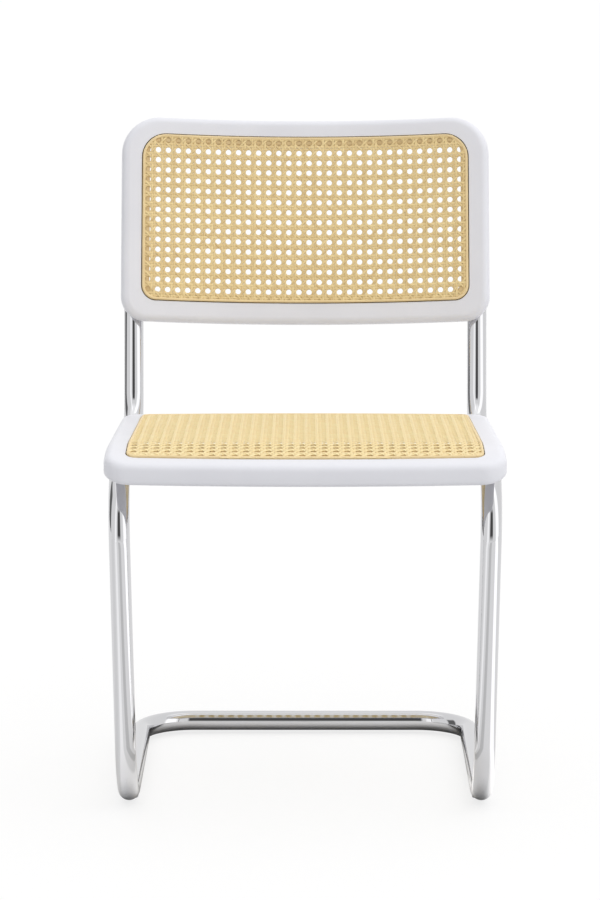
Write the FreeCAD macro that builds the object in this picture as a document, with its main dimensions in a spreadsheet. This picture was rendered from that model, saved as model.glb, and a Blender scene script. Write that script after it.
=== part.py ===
import FreeCAD, Part
import math
import os

import Sketcher
from FreeCAD import Placement, Rotation, Vector

# Cantilever side chair, in millimetres. One bent steel tube carries a doweled wooden seat frame and
# a concave, reclined wooden back frame; both hold woven cane under a reed spline.
# Row frame: +Z up, the sitter faces -Y, the floor is Z = 0 and the origin is below the chair's centre.
# Setbacks are counted from the middle of the seat's front edge, towards the rear.

SIZES = [
    ("tube_diameter", 25.0, "outside of the steel tube"),
    ("tube_wall", 2.0, "wall of the tube"),
    ("bend_radius", 68.0, "centreline radius of the floor and rear bends"),
    ("knee_radius", 84.0, "centreline radius of the bends from the rails into the front legs"),
    ("rail_inset", 15.6, "rails' axes from the seat's sides at its front"),
    ("floor_toe_in", 8.5, "floor runners' axes inwards of the rails'"),
    ("upright_inset", 10.5, "uprights' upper ends from the back's sides"),
    ("leg_setback", 45.0, "front legs' axis"),
    ("corner_clearance", 41.0, "rail and upright corner behind the seat's rear edge"),
    ("crossbar_step", 11.0, "floor crossbar's axis behind the rail and upright corner"),
    ("recline", 17.0, "uprights and back, degrees from the vertical"),
    ("seat_height", 441.5, "seat's flat top, carried on to above its front edge"),
    ("seat_slope", 2.2, "seat's fall to the rear, degrees"),
    ("seat_width", 468.2, "across the seat's front"),
    ("seat_taper", 3.6, "each side's step inwards at the rear"),
    ("seat_depth", 418.0, "front to rear along the middle"),
    ("seat_front_bow", 5.0, "rise of the front edge's arc"),
    ("seat_rear_bow", 10.0, "rise of the rear edge's arc"),
    ("seat_thickness", 23.6, "seat frame"),
    ("front_bend_radius", 230.0, "top of the seat where its front bends down"),
    ("front_bend_reach", 92.0, "length of the seat that bends down"),
    ("seat_corner", 31.0, "plan radius of the seat's corners"),
    ("seat_round", 10.0, "upper edge of the seat frame"),
    ("seat_under_round", 5.0, "lower edge of the seat frame"),
    ("seat_side_face", 25.5, "seat's side face outside the reed"),
    ("seat_front_face", 19.0, "seat's front face outside the reed"),
    ("seat_rear_face", 24.0, "seat's rear face outside the reed"),
    ("seat_reed_corner", 13.0, "plan radius of the seat's reed"),
    ("seat_hole_corner", 8.0, "plan radius of the seat's opening"),
    ("let_in", 4.0, "depth to which both frames are let onto the tube"),
    ("back_width", 464.0, "chord of the back frame's front face"),
    ("back_height", 266.7, "back frame along its recline"),
    ("back_rise", 143.8, "rail and upright corner to the back's lower edge, along the upright"),
    ("back_radius", 825.0, "hollow front face of the back"),
    ("back_thickness", 20.0, "back frame"),
    ("back_top_corner", 50.0, "back's upper corners"),
    ("back_foot_corner", 31.0, "back's lower corners"),
    ("back_round", 8.5, "edges of the back frame"),
    ("back_side_face", 22.6, "back's side face outside the reed"),
    ("back_top_face", 22.3, "back's upper face outside the reed"),
    ("back_foot_face", 25.7, "back's lower face outside the reed"),
    ("back_reed_top_corner", 33.0, "radius of the back's reed at its upper corners"),
    ("back_reed_foot_corner", 19.0, "radius of the back's reed at its lower corners"),
    ("back_hole_corner", 14.0, "radius of the back's opening"),
    ("tube_end_cover", 34.0, "back's upper edge above the tube's end"),
    ("channel_width", 4.4, "groove for the reed"),
    ("channel_depth", 6.0, "groove for the reed"),
    ("lip_width", 7.0, "wood inside the groove that carries the cane's edge"),
    ("front_lip_width", 33.1, "the same at the seat's front, which carries the bent cane"),
    ("stile_lip_width", 4.2, "the same at the back's sides"),
    ("hole_round", 1.5, "edges of both openings"),
    ("cane_thickness", 1.6, "woven cane"),
    ("cane_fold", 1.0, "cane turned down into the groove"),
    ("cane_bar", 14.0, "bars between the openings that stand for the cane's weave"),
    ("reed_proud", 2.0, "reed above the wood"),
    ("reed_round", 1.2, "top edges of the reed"),
    ("fit_gap", 0.1, "small clearance of reed, plugs, glides and screws"),
    ("seat_gap", 0.15, "clearance of a frame's groove around the tube"),
    ("dowel_diameter", 8.0, "wooden dowels"),
    ("dowel_length", 30.0, "wooden dowels"),
    ("screw_diameter", 5.0, "machine screws"),
    ("screw_head_diameter", 9.5, "screw heads"),
    ("screw_head_height", 2.8, "screw heads"),
    ("screw_socket_across", 3.0, "hexagon socket of a screw"),
    ("washer_diameter", 12.0, "saddle washers"),
    ("washer_thickness", 2.0, "saddle washers, at their middle"),
    ("insert_diameter", 8.0, "threaded inserts"),
    ("insert_length", 11.0, "threaded inserts"),
    ("seat_front_screw_setback", 155.0, "front pair of seat screws"),
    ("seat_rear_screw_margin", 73.0, "rear pair of seat screws from the seat's rear edge"),
    ("back_screw_margin", 55.0, "back screws from the back's edges"),
    ("plug_cap", 2.0, "plug on the tube's end"),
    ("plug_length", 14.0, "plug inside the tube"),
    ("glide_drop", 3.0, "glide below the tube"),
    ("glide_height", 7.0, "glide's pad"),
    ("glide_length", 34.0, "glide's pad"),
    ("glide_width", 18.0, "glide's pad"),
    ("glide_corner", 6.0, "glide's corners"),
    ("glide_margin", 28.0, "glide's middle from the end of a floor bend"),
    ("glide_stud_diameter", 6.0, "stud that snaps into the tube"),
    ("glide_stud_reach", 3.0, "stud inside the tube's wall"),
]

doc = FreeCAD.newDocument("cane_chair")
sheet = doc.addObject("Spreadsheet::Sheet", "Sizes")
for row, (alias, value, meaning) in enumerate(SIZES, start=1):
    sheet.set(f"A{row}", meaning)
    sheet.set(f"B{row}", str(value))
    sheet.setAlias(f"B{row}", alias)
doc.recompute()


class Length:
    """A size with the sheet expression that gives it, so that a shape and its binding agree."""

    def __init__(self, value, text):
        self.value = value
        self.text = text

    def _join(self, other, sign, value):
        text = other.text if isinstance(other, Length) else str(other)
        return Length(value, f"({self.text} {sign} {text})")

    def __add__(self, other):
        return self._join(other, "+", self.value + number(other))

    def __sub__(self, other):
        return self._join(other, "-", self.value - number(other))

    def __mul__(self, other):
        return self._join(other, "*", self.value * number(other))

    def __truediv__(self, other):
        return self._join(other, "/", self.value / number(other))

    def __neg__(self):
        return Length(-self.value, f"(0 - {self.text})")


def number(length):
    return length.value if isinstance(length, Length) else length


def size(alias):
    return Length(float(sheet.get(alias)), f"Sizes.{alias}")


def bind(item, name, length):
    item.setExpression(name, length.text)


CANE_COLUMNS = 12
SEAT_CANE_ROWS = 10
BACK_CANE_ROWS = 6
ZERO = size("tube_diameter") * 0
TUBE_RADIUS = size("tube_diameter") / 2
BORE_RADIUS = TUBE_RADIUS - size("tube_wall")
RAIL_SPAN = size("seat_width").value / 2 - size("rail_inset").value
FLOOR_SPAN = RAIL_SPAN - size("floor_toe_in").value
TOP_SPAN = size("back_width").value / 2 - size("upright_inset").value
CORNER_SETBACK = size("seat_depth").value + size("corner_clearance").value
CROSSBAR_SETBACK = CORNER_SETBACK + size("crossbar_step").value


def origin_plane(body, role):
    return next(plane for plane in body.Origin.OriginFeatures if plane.Role == role)


def new_sketch(body, role, name):
    sketch = body.newObject("Sketcher::SketchObject", name)
    sketch.AttachmentSupport = [(origin_plane(body, role), "")]
    sketch.MapMode = "FlatFace"
    return sketch


def hold(sketch, name, kind, *place, length):
    """Adds a named, driving dimension and ties it to the sheet."""
    index = sketch.addConstraint(Sketcher.Constraint(kind, *place, length.value))
    sketch.renameConstraint(index, name)
    bind(sketch, f"Constraints.{name}", length)


def round_edges(body, base, edges, radius, name):
    names = [f"Edge{i}" for i, edge in enumerate(base.Shape.Edges, start=1) if edges(edge)]
    fillet = body.newObject("PartDesign::Fillet", name)
    fillet.Base = (base, names)
    bind(fillet, "Radius", radius)
    body.Tip = fillet
    doc.recompute()
    return fillet


def is_along_z(edge):
    return edge.Curve.TypeId == "Part::GeomLine" and abs(edge.tangentAt(0).z) > 0.999


def borders(faces):
    """A test for the edges that bound any of the faces."""
    def on_them(edge):
        return any(edge.isSame(other) for face in faces for other in face.Edges)
    return on_them


def flat_faces_at(shape, height):
    return [face for face in shape.Faces
            if abs(face.BoundBox.ZMin - height) < 1e-4 and abs(face.BoundBox.ZMax - height) < 1e-4]


# Plates of the seat: its plan outline, cut out of layers that are flat and bend down at the front

def seat_outline(body, side, front, rear, height, name):
    """Outline of the seat, drawn in from its edges by the given faces: two sides and two arcs."""
    half_front = size("seat_width") / 2 - side
    half_rear = size("seat_width") / 2 - size("seat_taper") - side
    front_bow = size("seat_front_bow")
    rear_bow = size("seat_rear_bow")
    near = front_bow + front
    far = size("seat_depth") - rear_bow - rear
    sketch = new_sketch(body, "XY_Plane", name)
    bind(sketch, "AttachmentOffset.Base.z", height)
    front_left = Vector(-half_front.value, near.value, 0)
    front_right = Vector(half_front.value, near.value, 0)
    rear_right = Vector(half_rear.value, far.value, 0)
    rear_left = Vector(-half_rear.value, far.value, 0)
    front_middle = Vector(0, near.value - front_bow.value, 0)
    rear_middle = Vector(0, far.value + rear_bow.value, 0)
    sketch.addGeometry(Part.Arc(front_left, front_middle, front_right))
    sketch.addGeometry(Part.LineSegment(front_right, rear_right))
    sketch.addGeometry(Part.Arc(rear_right, rear_middle, rear_left))
    sketch.addGeometry(Part.LineSegment(rear_left, front_left))
    for piece in range(4):
        sketch.addConstraint(Sketcher.Constraint("Coincident", piece, 2, (piece + 1) % 4, 1))
    sketch.addConstraint(Sketcher.Constraint("Symmetric", 0, 1, 0, 2, -2))
    sketch.addConstraint(Sketcher.Constraint("Symmetric", 2, 1, 2, 2, -2))
    hold(sketch, "half_front", "DistanceX", -1, 1, 0, 2, length=half_front)
    hold(sketch, "near", "DistanceY", -1, 1, 0, 2, length=near)
    hold(sketch, "half_rear", "DistanceX", -1, 1, 2, 1, length=half_rear)
    hold(sketch, "far", "DistanceY", -1, 1, 2, 1, length=far)
    for piece, half, bow in ((0, half_front, front_bow), (2, half_rear, rear_bow)):
        arc_radius = (half * half + bow * bow) / (bow * 2)
        hold(sketch, f"arc_{piece}", "Radius", piece, length=arc_radius)
    return sketch


def seat_prism(name, side, front, rear, corner):
    """A tall block of the seat's plan outline, with rounded corners."""
    body = doc.addObject("PartDesign::Body", name)
    sketch = seat_outline(body, side, front, rear, size("seat_thickness"), f"{name}_outline")
    pad = body.newObject("PartDesign::Pad", f"{name}_pad")
    pad.Profile = sketch
    pad.Reversed = True
    bind(pad, "Length", size("seat_thickness") * 4)
    doc.recompute()
    round_edges(body, pad, is_along_z, corner, f"{name}_corners")
    return body


def layer_profile(body, top, thickness, name):
    """Side view of a layer: two lines behind the bend and two arcs with one centre below them."""
    radius = size("front_bend_radius")
    reach = size("front_bend_reach")
    upper = radius + top
    lower = upper - thickness
    far = size("seat_depth") * 1.2
    overrun = size("seat_thickness")
    turn = math.asin((reach + overrun).value / upper.value)
    sketch = new_sketch(body, "YZ_Plane", name)

    def on_arc(arc_radius, angle):
        return Vector(reach.value - arc_radius.value * math.sin(angle),
                      arc_radius.value * math.cos(angle) - radius.value, 0)

    def bend(arc_radius):
        return Part.Arc(on_arc(arc_radius, 0), on_arc(arc_radius, turn / 2), on_arc(arc_radius, turn))

    far_top = Vector(far.value, top.value, 0)
    far_bottom = Vector(far.value, top.value - thickness.value, 0)
    sketch.addGeometry(Part.LineSegment(far_top, on_arc(upper, 0)))
    sketch.addGeometry(bend(upper))
    sketch.addGeometry(Part.LineSegment(on_arc(upper, turn), on_arc(lower, turn)))
    sketch.addGeometry(bend(lower))
    sketch.addGeometry(Part.LineSegment(on_arc(lower, 0), far_bottom))
    sketch.addGeometry(Part.LineSegment(far_bottom, far_top))
    for pair in ((0, 2, 1, 1), (1, 2, 2, 1), (2, 2, 3, 2), (3, 1, 4, 1), (4, 2, 5, 1), (5, 2, 0, 1),
                 (1, 3, 3, 3)):
        sketch.addConstraint(Sketcher.Constraint("Coincident", *pair))
    sketch.addConstraint(Sketcher.Constraint("Horizontal", 0))
    sketch.addConstraint(Sketcher.Constraint("Horizontal", 4))
    sketch.addConstraint(Sketcher.Constraint("Vertical", 5))
    sketch.addConstraint(Sketcher.Constraint("Vertical", 1, 1, 1, 3))
    sketch.addConstraint(Sketcher.Constraint("Vertical", 3, 1, 3, 3))
    sketch.addConstraint(Sketcher.Constraint("PointOnObject", 1, 3, 2))
    hold(sketch, "reach", "DistanceX", -1, 1, 1, 3, length=reach)
    hold(sketch, "centre_depth", "DistanceY", 1, 3, -1, 1, length=radius)
    hold(sketch, "upper", "Radius", 1, length=upper)
    hold(sketch, "lower", "Radius", 3, length=lower)
    hold(sketch, "overrun", "DistanceX", 1, 2, -1, 1, length=overrun)
    hold(sketch, "far", "DistanceX", -1, 1, 5, 1, length=far)
    return sketch


def seat_layer(name, top, thickness):
    """A slab as wide as the seat and more, hanging from its top and bent down at the front."""
    body = doc.addObject("PartDesign::Body", name)
    pad = body.newObject("PartDesign::Pad", f"{name}_pad")
    pad.Profile = layer_profile(body, top, thickness, f"{name}_side")
    pad.Midplane = True
    bind(pad, "Length", size("seat_width") * 1.2)
    body.Tip = pad
    doc.recompute()
    return body


def seat_plate(name, side, front, rear, top, thickness, corner):
    """A plate of the seat's form with rounded corners."""
    return common(name, seat_layer(f"{name}_layer", top, thickness),
                  seat_prism(f"{name}_prism", side, front, rear, corner))


def seat_fall(setback):
    """How far the bend drops the seat's top at a distance behind the front edge."""
    radius = size("front_bend_radius").value
    inside = max(size("front_bend_reach").value - setback, 0)
    return radius - math.sqrt(radius ** 2 - inside ** 2)


# Curved plates of the back, around an upright axis through the local origin

def back_section(body, low, high, inner, thickness, name):
    """Rectangle that, turned about the axis, makes a curved plate."""
    sketch = new_sketch(body, "XZ_Plane", name)
    outer = inner + thickness
    corners = [Vector(inner.value, low.value, 0), Vector(outer.value, low.value, 0),
               Vector(outer.value, high.value, 0), Vector(inner.value, high.value, 0)]
    for start, end in zip(corners, corners[1:] + corners[:1]):
        sketch.addGeometry(Part.LineSegment(start, end))
    for piece in range(4):
        sketch.addConstraint(Sketcher.Constraint("Coincident", piece, 2, (piece + 1) % 4, 1))
        sketch.addConstraint(Sketcher.Constraint("Vertical" if piece % 2 else "Horizontal", piece))
    hold(sketch, "inner", "DistanceX", -1, 1, 0, 1, length=inner)
    hold(sketch, "outer", "DistanceX", -1, 1, 1, 1, length=outer)
    hold(sketch, "low", "DistanceY", -1, 1, 0, 1, length=low)
    hold(sketch, "high", "DistanceY", -1, 1, 2, 1, length=high)
    return sketch


def turn_by(feature, sketch, half_width):
    """Turns a section about the axis far enough for a half width measured on the front face."""
    share = half_width / size("back_radius")
    feature.Profile = sketch
    feature.ReferenceAxis = (sketch, ["V_Axis"])
    feature.Midplane = True
    feature.Angle = 2 * math.degrees(math.asin(share.value))
    feature.setExpression("Angle", f"2 * asin({share.text})")
    doc.recompute()


def is_radial_at(height):
    def test(edge):
        if edge.Curve.TypeId != "Part::GeomLine" or abs(edge.tangentAt(0).z) > 1e-3:
            return False
        return abs(edge.BoundBox.ZMin - height.value) < 1e-3
    return test


def back_plate(name, half_width, low, high, inner, thickness, top_corner, foot_corner):
    """A plate bent around the axis, with rounded corners."""
    body = doc.addObject("PartDesign::Body", name)
    sketch = back_section(body, low, high, inner, thickness, f"{name}_section")
    turned = body.newObject("PartDesign::Revolution", f"{name}_turned")
    turn_by(turned, sketch, half_width)
    top = round_edges(body, turned, is_radial_at(high), top_corner, f"{name}_top_corners")
    round_edges(body, top, is_radial_at(low), foot_corner, f"{name}_foot_corners")
    return body


# Booleans and primitives

def cut(name, base, tool):
    result = doc.addObject("Part::Cut", name)
    result.Base = base
    result.Tool = tool
    return result


def common(name, base, tool):
    result = doc.addObject("Part::Common", name)
    result.Base = base
    result.Tool = tool
    return result


def fuse(name, shapes):
    result = doc.addObject("Part::MultiFuse", name)
    result.Shapes = shapes
    return result


def group(name, links):
    result = doc.addObject("Part::Compound", name)
    result.Links = links
    return result


def cylinder(name, radius, height, place):
    """A cylinder along the placement's own Z axis."""
    item = doc.addObject("Part::Cylinder", name)
    bind(item, "Radius", radius)
    bind(item, "Height", height)
    item.Placement = place
    return item


def box(name, length, width, height, place):
    item = doc.addObject("Part::Box", name)
    bind(item, "Length", length)
    bind(item, "Width", width)
    bind(item, "Height", height)
    item.Placement = place
    return item


def facing(origin, along_z, along_x):
    """A placement whose Z and X axes point the given ways."""
    z_axis = Vector(along_z).normalize()
    y_axis = z_axis.cross(along_x).normalize()
    return Placement(origin, Rotation(y_axis.cross(z_axis), y_axis, z_axis, "ZXY"))


def shifted(place, x=0.0, y=0.0, z=0.0):
    return place * Placement(Vector(x, y, z), Rotation())


def opening_row(low, high, count):
    """Equal openings with bars between them: the lower limit of each, and their common width."""
    step = (high - low + size("cane_bar")) / count
    return [low + step * index for index in range(count)], step - size("cane_bar")


# Where the seat, the tube and the back lie

slope = math.radians(size("seat_slope").value)
recline = math.radians(size("recline").value)
seat_up = Vector(0, math.sin(slope), math.cos(slope))
seat_back = Vector(0, math.cos(slope), -math.sin(slope))
back_up = Vector(0, math.sin(recline), math.cos(recline))
back_rear = Vector(0, math.cos(recline), -math.sin(recline))

rail_drop = size("seat_thickness") + TUBE_RADIUS - size("let_in")
back_offset = size("back_thickness") + TUBE_RADIUS - size("let_in")


def rail_point(half_span, setback):
    """Point of a rail's axis, before the chair is centred."""
    run = (setback + rail_drop.value * math.sin(slope)) / math.cos(slope)
    level = Vector(half_span, 0, size("seat_height").value) - seat_up * rail_drop.value
    return level + seat_back * run


rear_corner = rail_point(RAIL_SPAN, CORNER_SETBACK)
mean_upright = (RAIL_SPAN + TOP_SPAN) / 2
axis_reach = math.sqrt(size("back_radius").value ** 2 - mean_upright ** 2) + back_offset.value


def front_reach():
    """Foremost point of the seat's front edge, on its lower rounding."""
    rounding = size("seat_under_round").value
    depth = seat_fall(0) + size("seat_thickness").value - rounding
    return rounding * math.cos(slope) - depth * math.sin(slope) - rounding


def rear_reach():
    """Rearmost point of the back, on the rounding of its upper rear edge."""
    rounding = size("back_round").value
    behind = size("back_radius").value + size("back_thickness").value - axis_reach - rounding
    above = size("back_rise").value + size("back_height").value - rounding
    return rear_corner.y + behind * math.cos(recline) + above * math.sin(recline) + rounding


centring = Vector(0, -(front_reach() + rear_reach()) / 2, 0)
rear_corner = rear_corner + centring

seat_place = Placement(centring + Vector(0, 0, size("seat_height").value),
                       Rotation(Vector(1, 0, 0), -size("seat_slope").value))
back_axis_foot = (Vector(0, rear_corner.y, rear_corner.z)
                  + back_up * size("back_rise").value - back_rear * axis_reach)
back_place = Placement(back_axis_foot,
                       Rotation(Vector(1, 0, 0), -size("recline").value)
                       * Rotation(Vector(0, 0, 1), 90))


# Steel tube

def tube_corners(past_end):
    """Corners of the tube's axis, from the left upper end round the floor to the right one."""
    upright = size("back_rise").value + size("back_height").value - size("tube_end_cover").value
    lean = (TOP_SPAN - RAIL_SPAN) / upright
    reach = upright + past_end
    floor = size("glide_drop").value + TUBE_RADIUS.value
    front = rail_point(RAIL_SPAN, size("leg_setback").value) + centring
    right_side = [
        rear_corner + back_up * reach + Vector(lean * reach, 0, 0),
        rear_corner,
        front,
        Vector(FLOOR_SPAN, front.y, floor),
        Vector(FLOOR_SPAN, CROSSBAR_SETBACK + centring.y, floor),
    ]
    left_side = [Vector(-point.x, point.y, point.z) for point in right_side]
    return left_side + right_side[::-1]


def tube_bends():
    """Radius at each corner that isn't an end: rear, knee and two floor bends on each side."""
    rear = size("bend_radius").value
    side = [rear, size("knee_radius").value, rear, rear]
    return side + side[::-1]


def tube_axis(name, past_end):
    """Straight runs joined by arcs that touch both."""
    corners = tube_corners(past_end)
    edges = []
    start = corners[0]
    for radius, before, corner, after in zip(tube_bends(), corners, corners[1:], corners[2:]):
        back_way = (before - corner).normalize()
        on_way = (after - corner).normalize()
        half_turn = (math.pi - back_way.getAngle(on_way)) / 2
        tangent = radius * math.tan(half_turn)
        middle = (back_way + on_way).normalize() * (radius / math.cos(half_turn) - radius)
        first = corner + back_way * tangent
        last = corner + on_way * tangent
        edges.append(Part.LineSegment(start, first).toShape())
        edges.append(Part.Arc(first, corner + middle, last).toShape())
        start = last
    edges.append(Part.LineSegment(start, corners[-1]).toShape())
    line = doc.addObject("Part::Feature", name)
    line.Shape = Part.Wire(edges)
    return line


def swept(name, line, radius):
    """A round bar along the whole axis."""
    first = line.Shape.Edges[0]
    ring = doc.addObject("Part::Circle", f"{name}_ring")
    bind(ring, "Radius", radius)
    direction = first.tangentAt(first.FirstParameter)
    ring.Placement = facing(first.valueAt(first.FirstParameter), direction, Vector(1, 0, 0))
    sweep = doc.addObject("Part::Sweep", name)
    sweep.Sections = [ring]
    sweep.Spine = (line, [])
    sweep.Solid = True
    sweep.Frenet = False
    return sweep


past_plug = size("plug_cap").value + size("seat_gap").value * 2
tube_line = tube_axis("tube_line", 0.0)
groove_line = tube_axis("groove_line", past_plug)
tube_outside = swept("tube_outside", tube_line, TUBE_RADIUS)
tube_inside = swept("tube_inside", tube_line, BORE_RADIUS)
tube_groove = swept("tube_groove", groove_line, TUBE_RADIUS + size("seat_gap"))


# Screws through the tube into threaded inserts, each with a saddle washer

def fastening(name, origin, inwards, along_tube):
    """Screw, washer and insert on one line through the tube; Z runs from the head inwards."""
    place = facing(origin, inwards, along_tube)
    seat_face = TUBE_RADIUS + size("washer_thickness")
    screw_radius = size("screw_diameter") / 2
    washer_radius = size("washer_diameter") / 2
    insert_foot = TUBE_RADIUS + size("seat_gap")
    hole_radius = screw_radius + size("fit_gap") * 2

    shank = cylinder(f"{name}_shank", screw_radius,
                     seat_face + insert_foot + size("insert_length") - size("fit_gap") * 5,
                     shifted(place, z=-seat_face.value))
    dome = doc.addObject("Part::Ellipsoid", f"{name}_dome")
    bind(dome, "Radius1", size("screw_head_height"))
    bind(dome, "Radius2", size("screw_head_diameter") / 2)
    dome.Angle1 = 0
    dome.Placement = (shifted(place, z=-seat_face.value)
                      * Placement(Vector(), Rotation(Vector(1, 0, 0), 180)))
    socket = doc.addObject("Part::Prism", f"{name}_socket")
    socket.Polygon = 6
    bind(socket, "Circumradius", size("screw_socket_across") / math.sqrt(3))
    bind(socket, "Height", size("screw_head_height"))
    socket.Placement = shifted(place, z=-seat_face.value - 1.4 * size("screw_head_height").value)
    screw = cut(f"{name}_screw", fuse(f"{name}_bolt", [shank, dome]), socket)

    disc = cylinder(f"{name}_disc", washer_radius, size("washer_thickness") * 2,
                    shifted(place, z=-seat_face.value))
    tube_here = cylinder(f"{name}_saddle", TUBE_RADIUS, washer_radius * 4,
                         facing(origin - Vector(along_tube) * washer_radius.value * 2,
                                along_tube, inwards))
    bore = cylinder(f"{name}_bore", hole_radius, seat_face * 2 + size("fit_gap") * 10,
                    shifted(place, z=-seat_face.value - 5 * size("fit_gap").value))
    washer = cut(f"{name}_washer", cut(f"{name}_saddled", disc, tube_here), bore)

    sleeve = cylinder(f"{name}_sleeve", size("insert_diameter") / 2, size("insert_length"),
                      shifted(place, z=insert_foot.value))
    thread = cylinder(f"{name}_thread", screw_radius + size("fit_gap"),
                      size("insert_length") + size("fit_gap") * 10,
                      shifted(place, z=insert_foot.value - 5 * size("fit_gap").value))
    insert = cut(f"{name}_insert", sleeve, thread)
    pocket = cylinder(f"{name}_pocket", size("insert_diameter") / 2,
                      size("insert_length") + size("seat_gap") * 10,
                      shifted(place, z=insert_foot.value - 10 * size("seat_gap").value))
    return {"screw": screw, "washer": washer, "insert": insert, "bore": bore, "pocket": pocket}


def seat_fastenings():
    found = []
    front = size("seat_front_screw_setback").value
    rear = size("seat_depth").value - size("seat_rear_screw_margin").value
    for side, sign in (("left", -1), ("right", 1)):
        for row, setback in (("front", front), ("rear", rear)):
            origin = rail_point(sign * RAIL_SPAN, setback) + centring
            found.append(fastening(f"seat_{row}_{side}", origin, seat_up, seat_back))
    return found


def back_fastenings():
    found = []
    margin = size("back_screw_margin").value
    low = size("back_rise").value + margin
    high = size("back_rise").value + size("back_height").value - size("tube_end_cover").value - margin
    for side, sign in (("left", -1), ("right", 1)):
        corners = tube_corners(0.0)
        top = corners[0] if sign < 0 else corners[-1]
        foot = Vector(sign * rear_corner.x, rear_corner.y, rear_corner.z)
        along = (top - foot).normalize()
        for row, reach in (("low", low), ("high", high)):
            origin = foot + along * reach
            found.append(fastening(f"back_{row}_{side}", origin, -back_rear, along))
    return found


seat_joints = seat_fastenings()
back_joints = back_fastenings()


# Floor glides and tube plugs

def glide(name, sign, setback):
    """A pad let onto the underside of a floor runner, with a stud through the tube's wall."""
    middle = Vector(sign * FLOOR_SPAN, setback + centring.y, 0)
    half_length = size("glide_length").value / 2
    half_width = size("glide_width").value / 2
    block = box(f"{name}_block", size("glide_width"), size("glide_length"), size("glide_height"),
                Placement(middle - Vector(half_width, half_length, 0), Rotation()))
    doc.recompute()
    rounded = doc.addObject("Part::Fillet", f"{name}_rounded")
    rounded.Base = block
    radius = size("glide_corner").value
    rounded.Edges = [(i, radius, radius) for i, edge in enumerate(block.Shape.Edges, start=1)
                     if is_along_z(edge)]
    axis_height = size("glide_drop") + TUBE_RADIUS
    runner = cylinder(f"{name}_runner", TUBE_RADIUS + size("fit_gap"), size("glide_length") * 2,
                      Placement(middle + Vector(0, -2 * half_length, axis_height.value),
                                Rotation(Vector(1, 0, 0), -90)))
    pad = cut(f"{name}_pad", rounded, runner)
    stud_radius = size("glide_stud_diameter") / 2
    stud_height = size("glide_drop") + size("tube_wall") + size("glide_stud_reach")
    foot = size("glide_drop") / 2
    stud = cylinder(f"{name}_stud", stud_radius, stud_height - foot,
                    Placement(middle + Vector(0, 0, foot.value), Rotation()))
    hole = cylinder(f"{name}_hole", stud_radius + size("fit_gap"), TUBE_RADIUS,
                    Placement(middle, Rotation()))
    return fuse(name, [pad, stud]), hole


def plug(name, end, outwards):
    place = facing(end, outwards, Vector(1, 0, 0))
    cap = cylinder(f"{name}_cap", TUBE_RADIUS, size("plug_cap"), place)
    spigot = cylinder(f"{name}_spigot", BORE_RADIUS - size("fit_gap"), size("plug_length"),
                      shifted(place, z=-size("plug_length").value))
    return fuse(name, [cap, spigot])


bend_reach = size("bend_radius").value + size("glide_margin").value
glide_setbacks = {"front": size("leg_setback").value + bend_reach,
                  "rear": CROSSBAR_SETBACK - bend_reach}
glides = []
glide_holes = []
for row, setback in glide_setbacks.items():
    for side, sign in (("left", -1), ("right", 1)):
        pad, hole = glide(f"{row}_{side}_glide", sign, setback)
        glides.append(pad)
        glide_holes.append(hole)

ends = tube_corners(0.0)
plugs = [plug("left_tube_plug", ends[0], ends[0] - ends[1]),
         plug("right_tube_plug", ends[-1], ends[-1] - ends[-2])]

tube_holes = fuse("tube_holes", [joint["bore"] for joint in seat_joints + back_joints] + glide_holes)
tube_frame = cut("tube_frame", cut("tube_pipe", tube_outside, tube_inside), tube_holes)


# Seat frame: one glued ring that is divided at its doweled joints

def seat_faces(extra):
    """Widths from the seat's edges to a line that lies further in than the reed's by extra."""
    return [size(name) + extra for name in ("seat_side_face", "seat_front_face", "seat_rear_face")]


def seat_faces_at(shape, offset):
    """The flat face and the bent face that lie at an offset from the seat's top."""
    flat = flat_faces_at(shape, offset.value)
    radius = size("front_bend_radius").value + offset.value
    bent = [face for face in shape.Faces if face.Surface.TypeId == "Part::GeomCylinder"
            and abs(face.Surface.Radius - radius) < 1e-3 and abs(face.Surface.Axis.x) > 0.999]
    return flat + bent


def rim_edges(shape, offset):
    """Numbers of the edges around the two faces at an offset, without the one between them."""
    faces = seat_faces_at(shape, offset)
    found = []
    for index, edge in enumerate(shape.Edges, start=1):
        if sum(edge.isSame(other) for face in faces for other in face.Edges) == 1:
            found.append(index)
    return found


def filleted(name, base, edges):
    """Rounds numbered edges, each with its radius."""
    fillet = doc.addObject("Part::Fillet", name)
    fillet.Base = base
    fillet.Edges = [(index, radius, radius) for index, radius in edges]
    doc.recompute()
    return fillet


hole_step = size("channel_width") + size("lip_width")
front_step = size("channel_width") + size("front_lip_width")
seat_underside = -size("seat_thickness")
seat_solid = seat_plate("seat_solid", ZERO, ZERO, ZERO, ZERO, size("seat_thickness"),
                        size("seat_corner"))
doc.recompute()
seat_rounded = filleted(
    "seat_rounded", seat_solid,
    [(index, size("seat_round").value) for index in rim_edges(seat_solid.Shape, ZERO)]
    + [(index, size("seat_under_round").value) for index in rim_edges(seat_solid.Shape, seat_underside)])
seat_opening = seat_prism("seat_opening", size("seat_side_face") + hole_step,
                          size("seat_front_face") + front_step,
                          size("seat_rear_face") + hole_step, size("seat_hole_corner"))
seat_holed = cut("seat_holed", seat_rounded, seat_opening)
doc.recompute()


def on_inner_rim(shape, offset):
    """Numbers of the rim edges that lie along the seat's opening."""
    half = size("seat_width").value / 2 - size("seat_side_face").value
    front = size("seat_front_face").value
    far = size("seat_depth").value - size("seat_rear_face").value
    found = []
    for index in rim_edges(shape, offset):
        bounds = shape.Edges[index - 1].BoundBox
        if max(-bounds.XMin, bounds.XMax) < half and bounds.YMin > front and bounds.YMax < far:
            found.append(index)
    return found


seat_blank = filleted("seat_blank", seat_holed,
                      [(index, size("hole_round").value)
                       for index in on_inner_rim(seat_holed.Shape, seat_underside)])

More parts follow.
